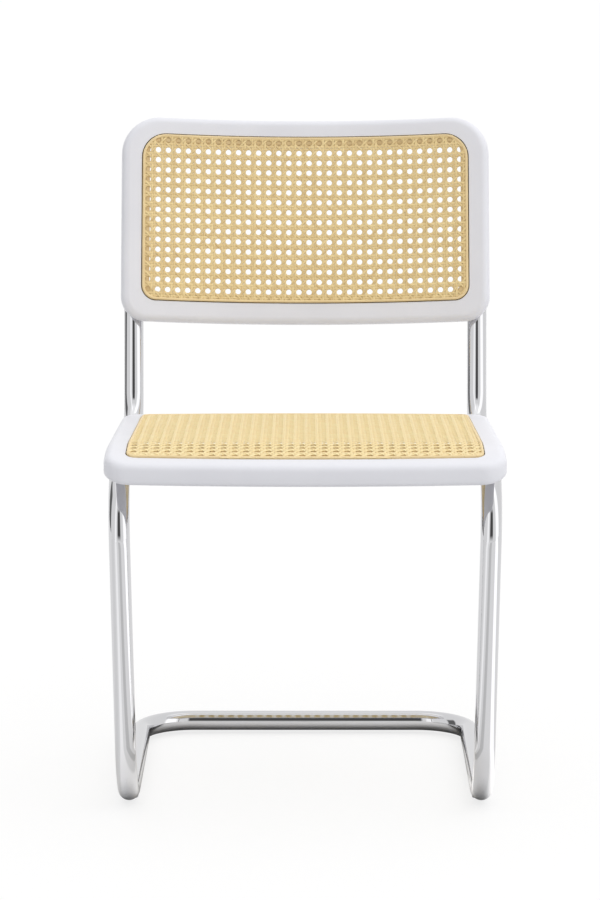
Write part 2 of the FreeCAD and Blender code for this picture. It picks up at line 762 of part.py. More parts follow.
seat_channel = cut(
    "seat_channel",
    seat_plate("seat_channel_outer", *seat_faces(ZERO), size("reed_proud"),
               size("channel_depth") + size("reed_proud"), size("seat_reed_corner")),
    seat_plate("seat_channel_inner", *seat_faces(size("channel_width")), size("reed_proud"),
               size("channel_depth") + size("reed_proud"),
               size("seat_reed_corner") - size("channel_width")))


def seat_dowels():
    """Two dowels across each of the four joints, side by side at half the frame's thickness."""
    radius = size("dowel_diameter") / 2
    length = size("dowel_length")
    rows = []
    for row, half, start, step, rail_width in (
            ("front", joint_front, size("seat_front_bow"), 1, size("seat_front_face") + front_step),
            ("rear", joint_rear, size("seat_depth") - size("seat_rear_bow"), -1,
             size("seat_rear_face") + hole_step)):
        width = rail_width.value
        for index, share in enumerate((0.3, 0.72)):
            for side, sign in (("left", -1), ("right", 1)):
                setback = start.value + step * share * width
                foot = Vector(sign * half.value - length.value / 2, setback,
                              -seat_fall(setback) - size("seat_thickness").value * 0.52)
                place = seat_place * Placement(foot, Rotation(Vector(0, 1, 0), 90))
                rows.append(cylinder(f"seat_dowel_{row}_{index}_{side}", radius, length, place))
    return rows


def seat_zone(name, half, start):
    """Block that holds the front or the rear rail between its two joints."""
    height = size("seat_thickness") * 4
    foot = Vector(-half.value, start, -3 * size("seat_thickness").value)
    return box(name, half * 2, size("seat_depth") / 2, height,
               seat_place * Placement(foot, Rotation()))


hole_half = size("seat_width") / 2 - size("seat_side_face") - hole_step
joint_front = hole_half - size("seat_hole_corner")
joint_rear = hole_half - size("seat_taper") - size("seat_hole_corner")
seat_blank.Placement = seat_place
seat_channel.Placement = seat_place

seat_dowel_list = seat_dowels()
seat_dowel_group = group("seat_dowels", seat_dowel_list)
seat_cuts = fuse("seat_cuts", [tube_groove] + seat_dowel_list
                 + [joint["pocket"] for joint in seat_joints])
seat_ring = cut("seat_ring", cut("seat_channelled", seat_blank, seat_channel), seat_cuts)
overhang = size("seat_thickness").value
front_zone = seat_zone("seat_front_zone", joint_front, -overhang)
rear_zone = seat_zone("seat_rear_zone", joint_rear,
                      size("seat_depth").value / 2 + overhang)
seat_front_rail = common("seat_front_rail", seat_ring, front_zone)
seat_rear_rail = common("seat_rear_rail", seat_ring, rear_zone)
seat_sides = cut("seat_sides", seat_ring, fuse("seat_zones", [front_zone, rear_zone]))
right_half = box("seat_right_half", size("seat_width"), size("seat_depth") * 2,
                 size("seat_thickness") * 4,
                 seat_place * Placement(Vector(0, -size("seat_depth").value / 2,
                                               -3 * size("seat_thickness").value), Rotation()))
seat_right_rail = common("seat_right_rail", seat_sides, right_half)
seat_left_rail = cut("seat_left_rail", seat_sides, right_half)


# Seat cane, folded into the groove, and the reed that holds it there

fold_step = size("channel_width") - size("cane_fold")
fold_depth = size("channel_depth") - size("fit_gap") * 5
reed_height = size("channel_depth") + size("reed_proud") - size("fit_gap") * 6

seat_sheet = seat_plate("seat_sheet", *seat_faces(fold_step), size("cane_thickness"),
                        size("cane_thickness"), size("seat_reed_corner") - fold_step)
seat_skirt = cut(
    "seat_skirt",
    seat_plate("seat_skirt_outer", *seat_faces(fold_step), ZERO, fold_depth,
               size("seat_reed_corner") - fold_step),
    seat_plate("seat_skirt_inner", *seat_faces(size("channel_width")), ZERO, fold_depth,
               size("seat_reed_corner") - size("channel_width")))
seat_reed_ring = cut(
    "seat_reed_ring",
    seat_plate("seat_reed_outer", *seat_faces(size("fit_gap")), size("reed_proud"), reed_height,
               size("seat_reed_corner") - size("fit_gap")),
    seat_plate("seat_reed_inner", *seat_faces(fold_step - size("fit_gap")), size("reed_proud"),
               reed_height, size("seat_reed_corner") - fold_step + size("fit_gap")))
doc.recompute()
seat_spline = filleted("seat_spline", seat_reed_ring,
                       [(index, size("reed_round").value)
                        for index in rim_edges(seat_reed_ring.Shape, size("reed_proud"))])


def seat_cane_openings():
    """Upright blocks in columns and rows, through the flat and the bent part of the sheet."""
    half = hole_half - size("seat_taper") - size("cane_bar")
    near = size("seat_front_bow") + size("cane_bar") + size("seat_front_face") + front_step
    far = (size("seat_depth") - size("seat_rear_bow") - size("cane_bar") - size("seat_rear_face")
           - hole_step)
    columns, width = opening_row(-half, half, CANE_COLUMNS)
    rows, length = opening_row(near, far, SEAT_CANE_ROWS)
    height = size("seat_thickness") * 3
    return [box(f"seat_opening_{row}_{column}", width, length, height,
                Placement(Vector(x.value, y.value, -height.value / 2), Rotation()))
            for row, y in enumerate(rows) for column, x in enumerate(columns)]


seat_cane = cut("seat_cane", fuse("seat_cane_sheet", [seat_sheet, seat_skirt]),
                group("seat_cane_openings", seat_cane_openings()))
for piece in (seat_cane, seat_spline):
    piece.Placement = seat_place


# Back frame: the same build, bent around the sitter

def back_inset(extra, name, corner_shift=None, **span):
    """A curved plate whose outline lies further in than the reed's by extra."""
    shift = extra if corner_shift is None else corner_shift
    return back_plate(
        name,
        size("back_width") / 2 - size("back_side_face") - extra,
        size("back_foot_face") + extra,
        size("back_height") - size("back_top_face") - extra,
        span["inner"], span["thickness"],
        size("back_reed_top_corner") - shift, size("back_reed_foot_corner") - shift)


front_face = size("back_radius")
rear_face = front_face + size("back_thickness")


def round_faces(shape, radius):
    return [face for face in shape.Faces if face.Surface.TypeId == "Part::GeomCylinder"
            and abs(face.Surface.Radius - radius.value) < 1e-3 and abs(face.Surface.Axis.z) > 0.999]


back_blank = back_plate("back_blank", size("back_width") / 2, ZERO, size("back_height"), front_face,
                        size("back_thickness"), size("back_top_corner"), size("back_foot_corner"))
whole = back_blank.Tip
back_faces = round_faces(whole.Shape, front_face) + round_faces(whole.Shape, rear_face)
edged = round_edges(back_blank, whole, borders(back_faces), size("back_round"), "back_edge_round")
back_hole_half = (size("back_width") / 2 - size("back_side_face") - size("channel_width")
                  - size("stile_lip_width"))
back_hole_low = size("back_foot_face") + hole_step
back_hole_high = size("back_height") - size("back_top_face") - hole_step
section = back_section(back_blank, back_hole_low, back_hole_high, front_face - size("reed_proud"),
                       size("back_thickness") + size("reed_proud") * 2, "back_opening_section")
groove = back_blank.newObject("PartDesign::Groove", "back_opening")
turn_by(groove, section, back_hole_half)
back_blank.Tip = groove
doc.recompute()


def is_opening_corner(edge):
    if edge.Curve.TypeId != "Part::GeomLine" or abs(edge.tangentAt(0).z) > 1e-3:
        return False
    height = edge.BoundBox.ZMin
    return min(abs(height - back_hole_low.value), abs(height - back_hole_high.value)) < 1e-3


back_holed = round_edges(back_blank, groove, is_opening_corner, size("back_hole_corner"),
                         "back_opening_corners")
back_rear_faces = round_faces(back_holed.Shape, rear_face)
rear_rim = min((wire for face in back_rear_faces for wire in face.Wires),
               key=lambda wire: wire.BoundBox.DiagonalLength)
round_edges(back_blank, back_holed,
            lambda edge: any(edge.isSame(other) for other in rear_rim.Edges),
            size("hole_round"), "back_opening_round")

channel_span = {"inner": front_face - size("reed_proud"),
                "thickness": size("channel_depth") + size("reed_proud")}
back_channel = cut("back_channel",
                   back_inset(ZERO, "back_channel_outer", **channel_span),
                   back_inset(size("channel_width"), "back_channel_inner", **channel_span))
back_joint_half = back_hole_half - size("back_hole_corner")
joint_angle = math.asin(back_joint_half.value / front_face.value)


def back_dowels():
    """Two dowels across each joint, square to its radial plane."""
    length = size("dowel_length")
    reach = front_face.value + size("back_thickness").value * 0.6
    top = size("back_height").value
    rows = []
    for row, start, step, face in (("top", top, -1, "back_top_face"), ("foot", 0.0, 1, "back_foot_face")):
        width = size(face).value + hole_step.value
        for index, share in enumerate((0.34, 0.72)):
            for side, sign in (("left", 1), ("right", -1)):
                angle = sign * joint_angle
                radial = Vector(math.cos(angle), math.sin(angle), 0)
                tangent = Vector(-math.sin(angle), math.cos(angle), 0)
                middle = radial * reach + Vector(0, 0, start + step * share * width)
                place = facing(middle - tangent * (length.value / 2), tangent, Vector(0, 0, 1))
                rows.append(cylinder(f"back_dowel_{row}_{index}_{side}", size("dowel_diameter") / 2,
                                     length, back_place * place))
    return rows


def back_zone(name, low, high):
    """Wedge that holds the top or the foot rail between its two joints."""
    body = doc.addObject("PartDesign::Body", name)
    spare = size("back_thickness")
    sketch = back_section(body, low, high, front_face - spare, spare * 3, f"{name}_section")
    turned = body.newObject("PartDesign::Revolution", f"{name}_turned")
    turn_by(turned, sketch, back_joint_half)
    body.Tip = turned
    return body


top_zone = back_zone("back_top_zone", size("back_height") / 2, size("back_height") * 1.5)
foot_zone = back_zone("back_foot_zone", -size("back_height") / 2, size("back_height") / 2)
for piece in (back_blank, back_channel.Base, back_channel.Tool, top_zone, foot_zone):
    piece.Placement = back_place

back_dowel_list = back_dowels()
back_dowel_group = group("back_dowels", back_dowel_list)
back_cuts = fuse("back_cuts", [tube_groove] + back_dowel_list
                 + [joint["pocket"] for joint in back_joints])
back_ring = cut("back_ring", cut("back_channelled", back_blank, back_channel), back_cuts)
back_top_rail = common("back_top_rail", back_ring, top_zone)
back_foot_rail = common("back_foot_rail", back_ring, foot_zone)
back_sides = cut("back_sides", back_ring, fuse("back_zones", [top_zone, foot_zone]))
back_left_half = box("back_left_half", front_face * 2, size("back_width"), size("back_height") * 2,
                     back_place * Placement(Vector(0, 0, -size("back_height").value / 2), Rotation()))
back_left_stile = common("back_left_stile", back_sides, back_left_half)
back_right_stile = cut("back_right_stile", back_sides, back_left_half)


# Back cane and its reed

cane_span = {"inner": front_face - size("cane_thickness"), "thickness": size("cane_thickness")}
fold_span = {"inner": front_face, "thickness": fold_depth}
reed_span = {"inner": front_face - size("reed_proud"), "thickness": reed_height}
back_sheet = back_inset(fold_step, "back_sheet", **cane_span)
back_skirt = cut("back_skirt",
                 back_inset(fold_step, "back_skirt_outer", **fold_span),
                 back_inset(size("channel_width"), "back_skirt_inner", **fold_span))
back_reed_ring = cut("back_reed_ring",
                     back_inset(size("fit_gap"), "back_reed_outer", **reed_span),
                     back_inset(fold_step - size("fit_gap"), "back_reed_inner", **reed_span))
doc.recompute()
on_back_reed_front = borders(round_faces(back_reed_ring.Shape, front_face - size("reed_proud")))
back_spline = filleted("back_spline", back_reed_ring,
                       [(index, size("reed_round").value)
                        for index, edge in enumerate(back_reed_ring.Shape.Edges, start=1)
                        if on_back_reed_front(edge)])


def back_cane_openings():
    """Blocks in columns and rows, each square to the hollow sheet at its own place."""
    half = back_hole_half - size("cane_bar")
    columns, width = opening_row(-half, half, CANE_COLUMNS)
    rows, length = opening_row(back_hole_low + size("cane_bar"), back_hole_high - size("cane_bar"),
                               BACK_CANE_ROWS)
    depth = size("back_thickness")
    reach = front_face.value - depth.value / 2
    return [box(f"back_opening_{row}_{column}", depth, width, length,
                Placement(Vector(0, 0, z.value),
                          Rotation(Vector(0, 0, 1),
                                   math.degrees((y + width / 2).value / front_face.value)))
                * Placement(Vector(reach, -width.value / 2, 0), Rotation()))
            for row, z in enumerate(rows) for column, y in enumerate(columns)]


back_cane = cut("back_cane", fuse("back_cane_sheet", [back_sheet, back_skirt]),
                group("back_cane_openings", back_cane_openings()))
for piece in (back_cane, back_spline):
    piece.Placement = back_place


# Nodes, their check and their files

nodes = {
    "tube_frame": tube_frame,
    "left_tube_plug": plugs[0],
    "right_tube_plug": plugs[1],
    "seat_front_rail": seat_front_rail,
    "seat_rear_rail": seat_rear_rail,
    "seat_left_rail": seat_left_rail,
    "seat_right_rail": seat_right_rail,
    "seat_dowels": seat_dowel_group,
    "seat_cane": seat_cane,
    "seat_spline": seat_spline,
    "back_top_rail": back_top_rail,
    "back_foot_rail": back_foot_rail,
    "back_left_stile": back_left_stile,
    "back_right_stile": back_right_stile,
    "back_dowels": back_dowel_group,
    "back_cane": back_cane,
    "back_spline": back_spline,
    "seat_screws": group("seat_screws", [joint["screw"] for joint in seat_joints]),
    "seat_washers": group("seat_washers", [joint["washer"] for joint in seat_joints]),
    "seat_inserts": group("seat_inserts", [joint["insert"] for joint in seat_joints]),
    "back_screws": group("back_screws", [joint["screw"] for joint in back_joints]),
    "back_washers": group("back_washers", [joint["washer"] for joint in back_joints]),
    "back_inserts": group("back_inserts", [joint["insert"] for joint in back_joints]),
}
for pad in glides:
    nodes[pad.Name] = pad
doc.recompute()

for item in doc.Objects:
    if "Invalid" in item.State or "Error" in item.State:
        raise RuntimeError(f"{item.Name} failed: {item.State}")
for name, item in nodes.items():
    item.Label = name
    shape = item.Shape
    if shape.isNull() or not shape.isValid() or not shape.Solids:
        raise RuntimeError(f"{name} has no valid solid")

os.makedirs("parts", exist_ok=True)
for name, item in nodes.items():
    item.Shape.exportStep(f"parts/{name}.step")
    print(f"{name}: {len(item.Shape.Solids)} solids, {item.Shape.Volume / 1000:.2f} cm3")
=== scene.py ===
"""Cantilever dining chair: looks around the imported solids. Metres, +Z up, the sitter faces -Y."""

import math

import bpy
import numpy as np
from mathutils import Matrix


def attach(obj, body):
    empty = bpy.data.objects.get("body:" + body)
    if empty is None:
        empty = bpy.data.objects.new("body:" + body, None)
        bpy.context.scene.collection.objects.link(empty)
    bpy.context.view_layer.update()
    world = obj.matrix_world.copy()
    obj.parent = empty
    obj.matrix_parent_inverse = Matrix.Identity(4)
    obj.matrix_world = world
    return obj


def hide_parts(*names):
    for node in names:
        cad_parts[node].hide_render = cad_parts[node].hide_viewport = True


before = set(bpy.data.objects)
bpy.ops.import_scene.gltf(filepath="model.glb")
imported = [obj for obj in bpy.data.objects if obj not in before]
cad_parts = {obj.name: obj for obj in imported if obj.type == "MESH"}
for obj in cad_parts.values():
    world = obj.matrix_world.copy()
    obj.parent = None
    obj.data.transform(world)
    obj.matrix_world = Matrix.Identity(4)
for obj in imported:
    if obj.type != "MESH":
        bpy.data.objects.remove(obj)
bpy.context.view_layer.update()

MM = 0.001

# Steel tube: its axis by corners, given as halves across the chair and setbacks from the seat's front
TUBE_RADIUS = 12.5 * MM
TUBE_WALL = 2.0 * MM
BEND_RADIUS = 68 * MM
KNEE_RADIUS = 84 * MM
LEG_SETBACK = 45 * MM
CORNER_SETBACK = 459 * MM
CROSSBAR_SETBACK = 470 * MM
RAIL_HALF = 218.5 * MM
FLOOR_HALF = 210 * MM
TOP_HALF = 221.5 * MM
GLIDE_DROP = 3 * MM
LET_IN = 4 * MM
SLEEVE_DEPTH = 10 * MM

# Seat: a face runs from the frame's outer edge to the reed's groove
SEAT_HEIGHT = 441.5 * MM
SEAT_SLOPE = math.radians(2.2)
SEAT_WIDTH = 468.2 * MM
SEAT_TAPER = 3.6 * MM
SEAT_DEPTH = 418 * MM
SEAT_FRONT_BOW = 5 * MM
SEAT_REAR_BOW = 10 * MM
SEAT_THICKNESS = 23.6 * MM
SEAT_BEND_RADIUS = 230 * MM
SEAT_BEND_REACH = 92 * MM
SEAT_CORNER = 31 * MM
SEAT_ROUND = 10 * MM
SEAT_UNDER_ROUND = 5 * MM
SEAT_SIDE_FACE = 25.5 * MM
SEAT_FRONT_FACE = 19 * MM
SEAT_REAR_FACE = 24 * MM
SEAT_REED_CORNER = 13 * MM
SEAT_HOLE_CORNER = 8 * MM

# Back
RECLINE = math.radians(17)
BACK_RISE = 143.8 * MM
BACK_WIDTH = 464 * MM
BACK_HEIGHT = 266.7 * MM
BACK_RADIUS = 825 * MM
BACK_THICKNESS = 20 * MM
BACK_TOP_CORNER = 50 * MM
BACK_FOOT_CORNER = 31 * MM
BACK_ROUND = 8.5 * MM
BACK_SIDE_FACE = 22.6 * MM
BACK_TOP_FACE = 22.3 * MM
BACK_FOOT_FACE = 25.7 * MM
BACK_REED_TOP_CORNER = 33 * MM
BACK_REED_FOOT_CORNER = 19 * MM
BACK_HOLE_CORNER = 14 * MM
TUBE_END_COVER = 34 * MM

# Groove, reed and cane
CHANNEL_WIDTH = 4.4 * MM
CHANNEL_DEPTH = 6 * MM
LIP_WIDTH = 7 * MM
FRONT_LIP_WIDTH = 50 * MM
STILE_LIP_WIDTH = 5.9 * MM
HOLE_ROUND = 1.5 * MM
EDGE_SOFT = 0.4 * MM
REED_START = 1.1 * MM
REED_WIDTH = 3.3 * MM
REED_DEPTH = 5.4 * MM
REED_SIDE = 2 * MM
REED_PROUD = 2.0 * MM
REED_ROUND = 1.3 * MM
REED_MEASURED_ROW = 5
REED_TONE = 0.5
CANE_UNDER_REED = 1.6 * MM
CANE_PITCH = 13.04 * MM
CANE_MIDDLE = 0.8 * MM
STRAND_STEP = 1.58 * MM
STRAND_WIDTH = 2.9 * MM
DIAGONAL_WIDTH = 2.4 * MM
STRAND_THICKNESS = 0.75 * MM
DIAGONAL_THICKNESS = 0.5 * MM
DIAGONAL_FLATNESS = 2.2
SHORTEST_STRAND = 2 * MM

# Where a crossing of the weave lies on the sheet, how far the sheet is stretched across and along, and
# how full the strands are
BACK_PHASE = (-1.6 * MM, 138.0 * MM)
BACK_STRETCH = (0.9985, 0.9975)
SEAT_PHASE = (3.3 * MM, -46.9 * MM)
SEAT_FULLNESS = 1.14

# How strands stray: sideways in slow waves, in their widths, and in where their streaks begin
WEAVE_SEED = 7
STRAND_WANDER = 0.06 * MM
WANDER_WAVE = 3 * CANE_PITCH
WANDER_TURN = 6.28
WIDTH_SPREAD = 0.035
STREAK_SHIFT = 10 * MM

# Rows between a rounded edge and the groove. Seat: shares of the way, and what the corner's radius loses
# on it. Back: insets at the sides, below and above, and radii of the corners above and below.
SEAT_TOP_SHARES = (0.3, 0.6, 0.85)
SEAT_TOP_CORNER_LOSS = 8 * MM
BACK_FACE_ROW = (15 * MM, 17 * MM, 14 * MM, 39 * MM, 23 * MM)

# Numbers of points and rows
TUBE_SIDES = 64
BEND_POINTS = 40
SEAT_RUN_POINTS, SEAT_CORNER_POINTS = 48, 14
BACK_RUN_POINTS, BACK_CORNER_POINTS = 60, 16
ROUND_ROWS = 9
UNDER_ROUND_ROWS = 6
HOLE_ROUND_ROWS = 4
LIP_ROWS = 7
UNDERSIDE_ROWS = 8
STRAND_STEPS_PER_PITCH = 6
FEWEST_STRAND_STEPS = 3
STRAND_NUMBERS = range(-40, 41)

# Materials of a frame's faces, in the order of its slots; the groove's dark colour is painted shade
PAINTED, BARE, GROOVE = 0, 1, 2


# Where the seat, the tube and the back lie

def unit(v):
    """A vector scaled to length one."""
    v = np.asarray(v, float)
    return v / np.linalg.norm(v)


SEAT_UP = np.array([0, math.sin(SEAT_SLOPE), math.cos(SEAT_SLOPE)])
SEAT_BACK = np.array([0, math.cos(SEAT_SLOPE), -math.sin(SEAT_SLOPE)])
BACK_UP = np.array([0, math.sin(RECLINE), math.cos(RECLINE)])
BACK_REAR = np.array([0, math.cos(RECLINE), -math.sin(RECLINE)])
RAIL_DROP = SEAT_THICKNESS + TUBE_RADIUS - LET_IN
BACK_OFFSET = BACK_THICKNESS + TUBE_RADIUS - LET_IN


def rail_point(half_span, setback):
    """Point of a rail's axis, counted from the seat's front edge before the chair is centred."""
    run = (setback + RAIL_DROP * math.sin(SEAT_SLOPE)) / math.cos(SEAT_SLOPE)
    return np.array([half_span, 0, SEAT_HEIGHT]) - SEAT_UP * RAIL_DROP + SEAT_BACK * run


# The chair is centred between the foot of the seat's front edge and the top of the back's rear edge
corner = rail_point(RAIL_HALF, CORNER_SETBACK)
axis_reach = math.sqrt(BACK_RADIUS ** 2 - ((RAIL_HALF + TOP_HALF) / 2) ** 2) + BACK_OFFSET
front_fall = SEAT_BEND_RADIUS - math.sqrt(SEAT_BEND_RADIUS ** 2 - SEAT_BEND_REACH ** 2)
front_depth = front_fall + SEAT_THICKNESS - SEAT_UNDER_ROUND
front_reach = (SEAT_UNDER_ROUND * math.cos(SEAT_SLOPE) - front_depth * math.sin(SEAT_SLOPE)
               - SEAT_UNDER_ROUND)
behind = BACK_RADIUS + BACK_THICKNESS - axis_reach - BACK_ROUND
above = BACK_RISE + BACK_HEIGHT - BACK_ROUND
rear_reach = corner[1] + behind * math.cos(RECLINE) + above * math.sin(RECLINE) + BACK_ROUND
CENTRING = -(front_reach + rear_reach) / 2
REAR_CORNER = corner + [0, CENTRING, 0]
BACK_AXIS_FOOT = np.array([0, *REAR_CORNER[1:]]) + BACK_UP * BACK_RISE - BACK_REAR * axis_reach


def seat_place(x, y, z):
    """Points in the chair's frame: x across the seat, y from its front edge, z above its top plane."""
    x, y, z = np.broadcast_arrays(x, y, z)
    flat = np.stack([x, 0 * x, 0 * x], -1)
    return flat + y[..., None] * SEAT_BACK + z[..., None] * SEAT_UP + [0, CENTRING, SEAT_HEIGHT]


def back_place(along, height, radius):
    """Points in the chair's frame: arc length across the back's front face, height up its recline
    and distance from the axis that it is hollowed about."""
    along, height, radius = np.broadcast_arrays(along, height, radius)
    turn = along / BACK_RADIUS
    across = np.stack([radius * np.sin(turn), 0 * turn, 0 * turn], -1)
    rear = (radius * np.cos(turn))[..., None] * BACK_REAR
    return across + rear + height[..., None] * BACK_UP + BACK_AXIS_FOOT


# Meshes from grids of points

def mesh_object(name, points, faces, face_slots=None):
    """One smooth mesh object that rides on the chair's body; faces are quads of point numbers."""
    points = np.asarray(points, np.float32).reshape(-1, 3)
    faces = np.asarray(faces, np.int32).reshape(-1, 4)
    mesh = bpy.data.meshes.new(name)
    mesh.vertices.add(len(points))
    mesh.vertices.foreach_set("co", points.ravel())
    mesh.loops.add(faces.size)
    mesh.loops.foreach_set("vertex_index", faces.ravel())
    mesh.polygons.add(len(faces))
    mesh.polygons.foreach_set("loop_start", np.arange(0, faces.size, 4, dtype=np.int32))
    mesh.polygons.foreach_set("loop_total", np.full(len(faces), 4, np.int32))
    mesh.update(calc_edges=True)
    mesh.polygons.foreach_set("use_smooth", np.full(len(faces), True))
    if face_slots is not None:
        mesh.polygons.foreach_set("material_index", np.asarray(face_slots, np.int32))
    item = bpy.data.objects.new(name, mesh)
    bpy.context.scene.collection.objects.link(item)
    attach(item, "root")
    return item


def grid_faces(rows, columns, close_rows=False, close_columns=False, start=0):
    """Quads of a grid of points numbered row by row; a closed direction joins its end to its start."""
    r = np.arange(rows if close_rows else rows - 1)
    c = np.arange(columns if close_columns else columns - 1)
    r, c = np.meshgrid(r, c, indexing="ij")
    r_next, c_next = (r + 1) % rows, (c + 1) % columns
    quads = np.stack([r * columns + c, r * columns + c_next,
                      r_next * columns + c_next, r_next * columns + c], -1)
    return quads.reshape(-1, 4) + start


# Steel tube: a ring carried along straight runs and the arcs that touch both

def tube_path():
    """Points and directions along the tube's axis, from the left upper end to the right one."""
    upright = BACK_RISE + BACK_HEIGHT - TUBE_END_COVER
    lean = (TOP_HALF - RAIL_HALF) / upright
    front = rail_point(RAIL_HALF, LEG_SETBACK) + [0, CENTRING, 0]
    floor = GLIDE_DROP + TUBE_RADIUS
    right = np.array([
        REAR_CORNER + BACK_UP * upright + np.array([lean * upright, 0, 0]),
        REAR_CORNER,
        front,
        [FLOOR_HALF, front[1], floor],
        [FLOOR_HALF, CROSSBAR_SETBACK + CENTRING, floor],
    ])
    corners = np.concatenate([right * [-1, 1, 1], right[::-1]])
    bends = [BEND_RADIUS, KNEE_RADIUS, BEND_RADIUS, BEND_RADIUS]
    points, directions = [corners[:1]], [unit(corners[1] - corners[0])[None]]
    for radius, before, at, after in zip(bends + bends[::-1], corners, corners[1:], corners[2:]):
        along, onward = unit(at - before), unit(after - at)
        turn = math.acos(float(np.clip(along @ onward, -1, 1)))
        start = at - along * radius * math.tan(turn / 2)
        inward = unit(onward - along * math.cos(turn))
        angle = np.linspace(0, turn, BEND_POINTS)[:, None]
        points.append(start + radius * (np.sin(angle) * along + (1 - np.cos(angle)) * inward))
        directions.append(np.cos(angle) * along + np.sin(angle) * inward)
    points.append(corners[-1:])
    directions.append(unit(corners[-1] - corners[-2])[None])
    return np.concatenate(points), np.concatenate(directions)


def carried_frames(directions):
    """Two cross axes at each point of a path, turned as little as possible from one to the next."""
    side = unit(np.cross(directions[0], [0, 1, 0]))
    sides = []
    for direction in directions:
        side = unit(side - direction * (side @ direction))
        sides.append(side)
    sides = np.array(sides)
    return sides, np.cross(directions, sides)


def build_tube():
    """Ring of the tube's radius carried along the path; a wall and an inner sleeve close its ends."""
    points, directions = tube_path()
    side, other = carried_frames(directions)
    turn = np.linspace(0, 2 * math.pi, TUBE_SIDES, endpoint=False)[None, :, None]
    ring = np.cos(turn) * side[:, None] + np.sin(turn) * other[:, None]
    outer = points[:, None] + TUBE_RADIUS * ring
    bore = TUBE_RADIUS - TUBE_WALL
    ends = []
    for at, inwards in ((0, directions[0]), (-1, -directions[-1])):
        ends.append([points[at] + (TUBE_RADIUS - EDGE_SOFT) * ring[at], points[at] + bore * ring[at],
                     points[at] + inwards * SLEEVE_DEPTH + bore * ring[at]])
        outer[at] = points[at] + inwards * EDGE_SOFT + TUBE_RADIUS * ring[at]
    grid = np.concatenate([ends[0][::-1], outer, ends[1]])
    faces = grid_faces(len(grid), TUBE_SIDES, close_columns=True)
    tube = mesh_object("bent_tube", grid, faces)
    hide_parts("tube_frame")
    return tube


# Outlines of the seat and of the back, with the same number of points whatever their inset

def corner_arc(centre, radius, start, end, count):
    """Points of an arc about a centre, angles in degrees."""
    angle = np.radians(np.linspace(start, end, count))
    return np.stack([centre[0] + radius * np.cos(angle), centre[1] + radius * np.sin(angle)], -1)


def seat_outline(side, front, rear, radius):
    """Loop in plan, counter-clockwise seen from above: two bowed arcs and two tapering sides, each
    corner rounded by the circle that touches the side's line and the bowed arc."""
    half_front = SEAT_WIDTH / 2 - side
    half_rear = SEAT_WIDTH / 2 - SEAT_TAPER - side
    near, far = SEAT_FRONT_BOW + front, SEAT_DEPTH - SEAT_REAR_BOW - rear
    right = []
    lean = unit([half_rear - half_front, far - near])
    inward = np.array([-lean[1], lean[0]])
    for sign, half, level, bow in ((1, half_front, near, SEAT_FRONT_BOW),
                                   (-1, half_rear, far, SEAT_REAR_BOW)):
        big = (half ** 2 + bow ** 2) / (2 * bow)
        big_centre = np.array([0, level + sign * (big - bow)])
        through = np.array([half, level]) + inward * radius
        offset = through - big_centre
        along_lean = offset @ lean
        reach = -along_lean - sign * math.sqrt(along_lean ** 2 - offset @ offset + (big - radius) ** 2)
        centre = through + lean * reach
        away = unit(centre - big_centre)
        arc_angle = math.degrees(math.atan2(away[1], away[0]))
        side_angle = math.degrees(math.atan2(-inward[1], -inward[0]))
        right.append((big_centre, big, arc_angle, side_angle, centre))
    (low_centre, low_big, low_angle, low_side, low_corner) = right[0]
    (high_centre, high_big, high_angle, high_side, high_corner) = right[1]
    pieces = [
        corner_arc(low_centre, low_big, -90, low_angle, SEAT_RUN_POINTS)[:-1],
        corner_arc(low_corner, radius, low_angle, low_side, SEAT_CORNER_POINTS),
        np.linspace(low_corner - inward * radius, high_corner - inward * radius, SEAT_RUN_POINTS)[1:-1],
        corner_arc(high_corner, radius, high_side, high_angle, SEAT_CORNER_POINTS),
        corner_arc(high_centre, high_big, high_angle, 90, SEAT_RUN_POINTS)[1:],
    ]
    half_loop = np.concatenate(pieces)
    return np.concatenate([half_loop, half_loop[-2:0:-1] * [-1, 1]])


def back_outline(side, low, high, top_radius, foot_radius):
    """Loop on the back's front face, counter-clockwise seen by the sitter's back: arc length across
    and height, a rectangle with two larger corners above and two smaller ones below."""
    half = BACK_RADIUS * math.asin((BACK_WIDTH / 2 - side) / BACK_RADIUS)
    foot, top = low, BACK_HEIGHT - high
    run, around = BACK_RUN_POINTS, BACK_CORNER_POINTS
    pieces = [
        np.stack([np.linspace(0, half - foot_radius, run), np.full(run, foot)], -1)[:-1],
        corner_arc((half - foot_radius, foot + foot_radius), foot_radius, -90, 0, around),
        np.stack([np.full(run, half), np.linspace(foot + foot_radius, top - top_radius, run)], -1)[1:-1],
        corner_arc((half - top_radius, top - top_radius), top_radius, 0, 90, around),
        np.stack([np.linspace(half - top_radius, 0, run), np.full(run, top)], -1)[1:],
    ]
    half_loop = np.concatenate(pieces)
    return np.concatenate([half_loop, half_loop[-2:0:-1] * [-1, 1]])


def seat_inset(extra):
    """Outline that lies further in than the seat reed's groove by extra."""
    return seat_outline(SEAT_SIDE_FACE + extra, SEAT_FRONT_FACE + extra, SEAT_REAR_FACE + extra,
                        SEAT_REED_CORNER - extra)


def seat_hole(out):
    """Outline of the seat's opening, widened by out; the lip that carries the bent cane is wider."""
    step = CHANNEL_WIDTH + LIP_WIDTH - out
    return seat_outline(SEAT_SIDE_FACE + step, SEAT_FRONT_FACE + CHANNEL_WIDTH + FRONT_LIP_WIDTH - out,
                        SEAT_REAR_FACE + step, SEAT_HOLE_CORNER + out)


def back_inset(extra):
    """Outline that lies further in than the back reed's groove by extra."""
    return back_outline(BACK_SIDE_FACE + extra, BACK_FOOT_FACE + extra, BACK_TOP_FACE + extra,
                        BACK_REED_TOP_CORNER - extra, BACK_REED_FOOT_CORNER - extra)


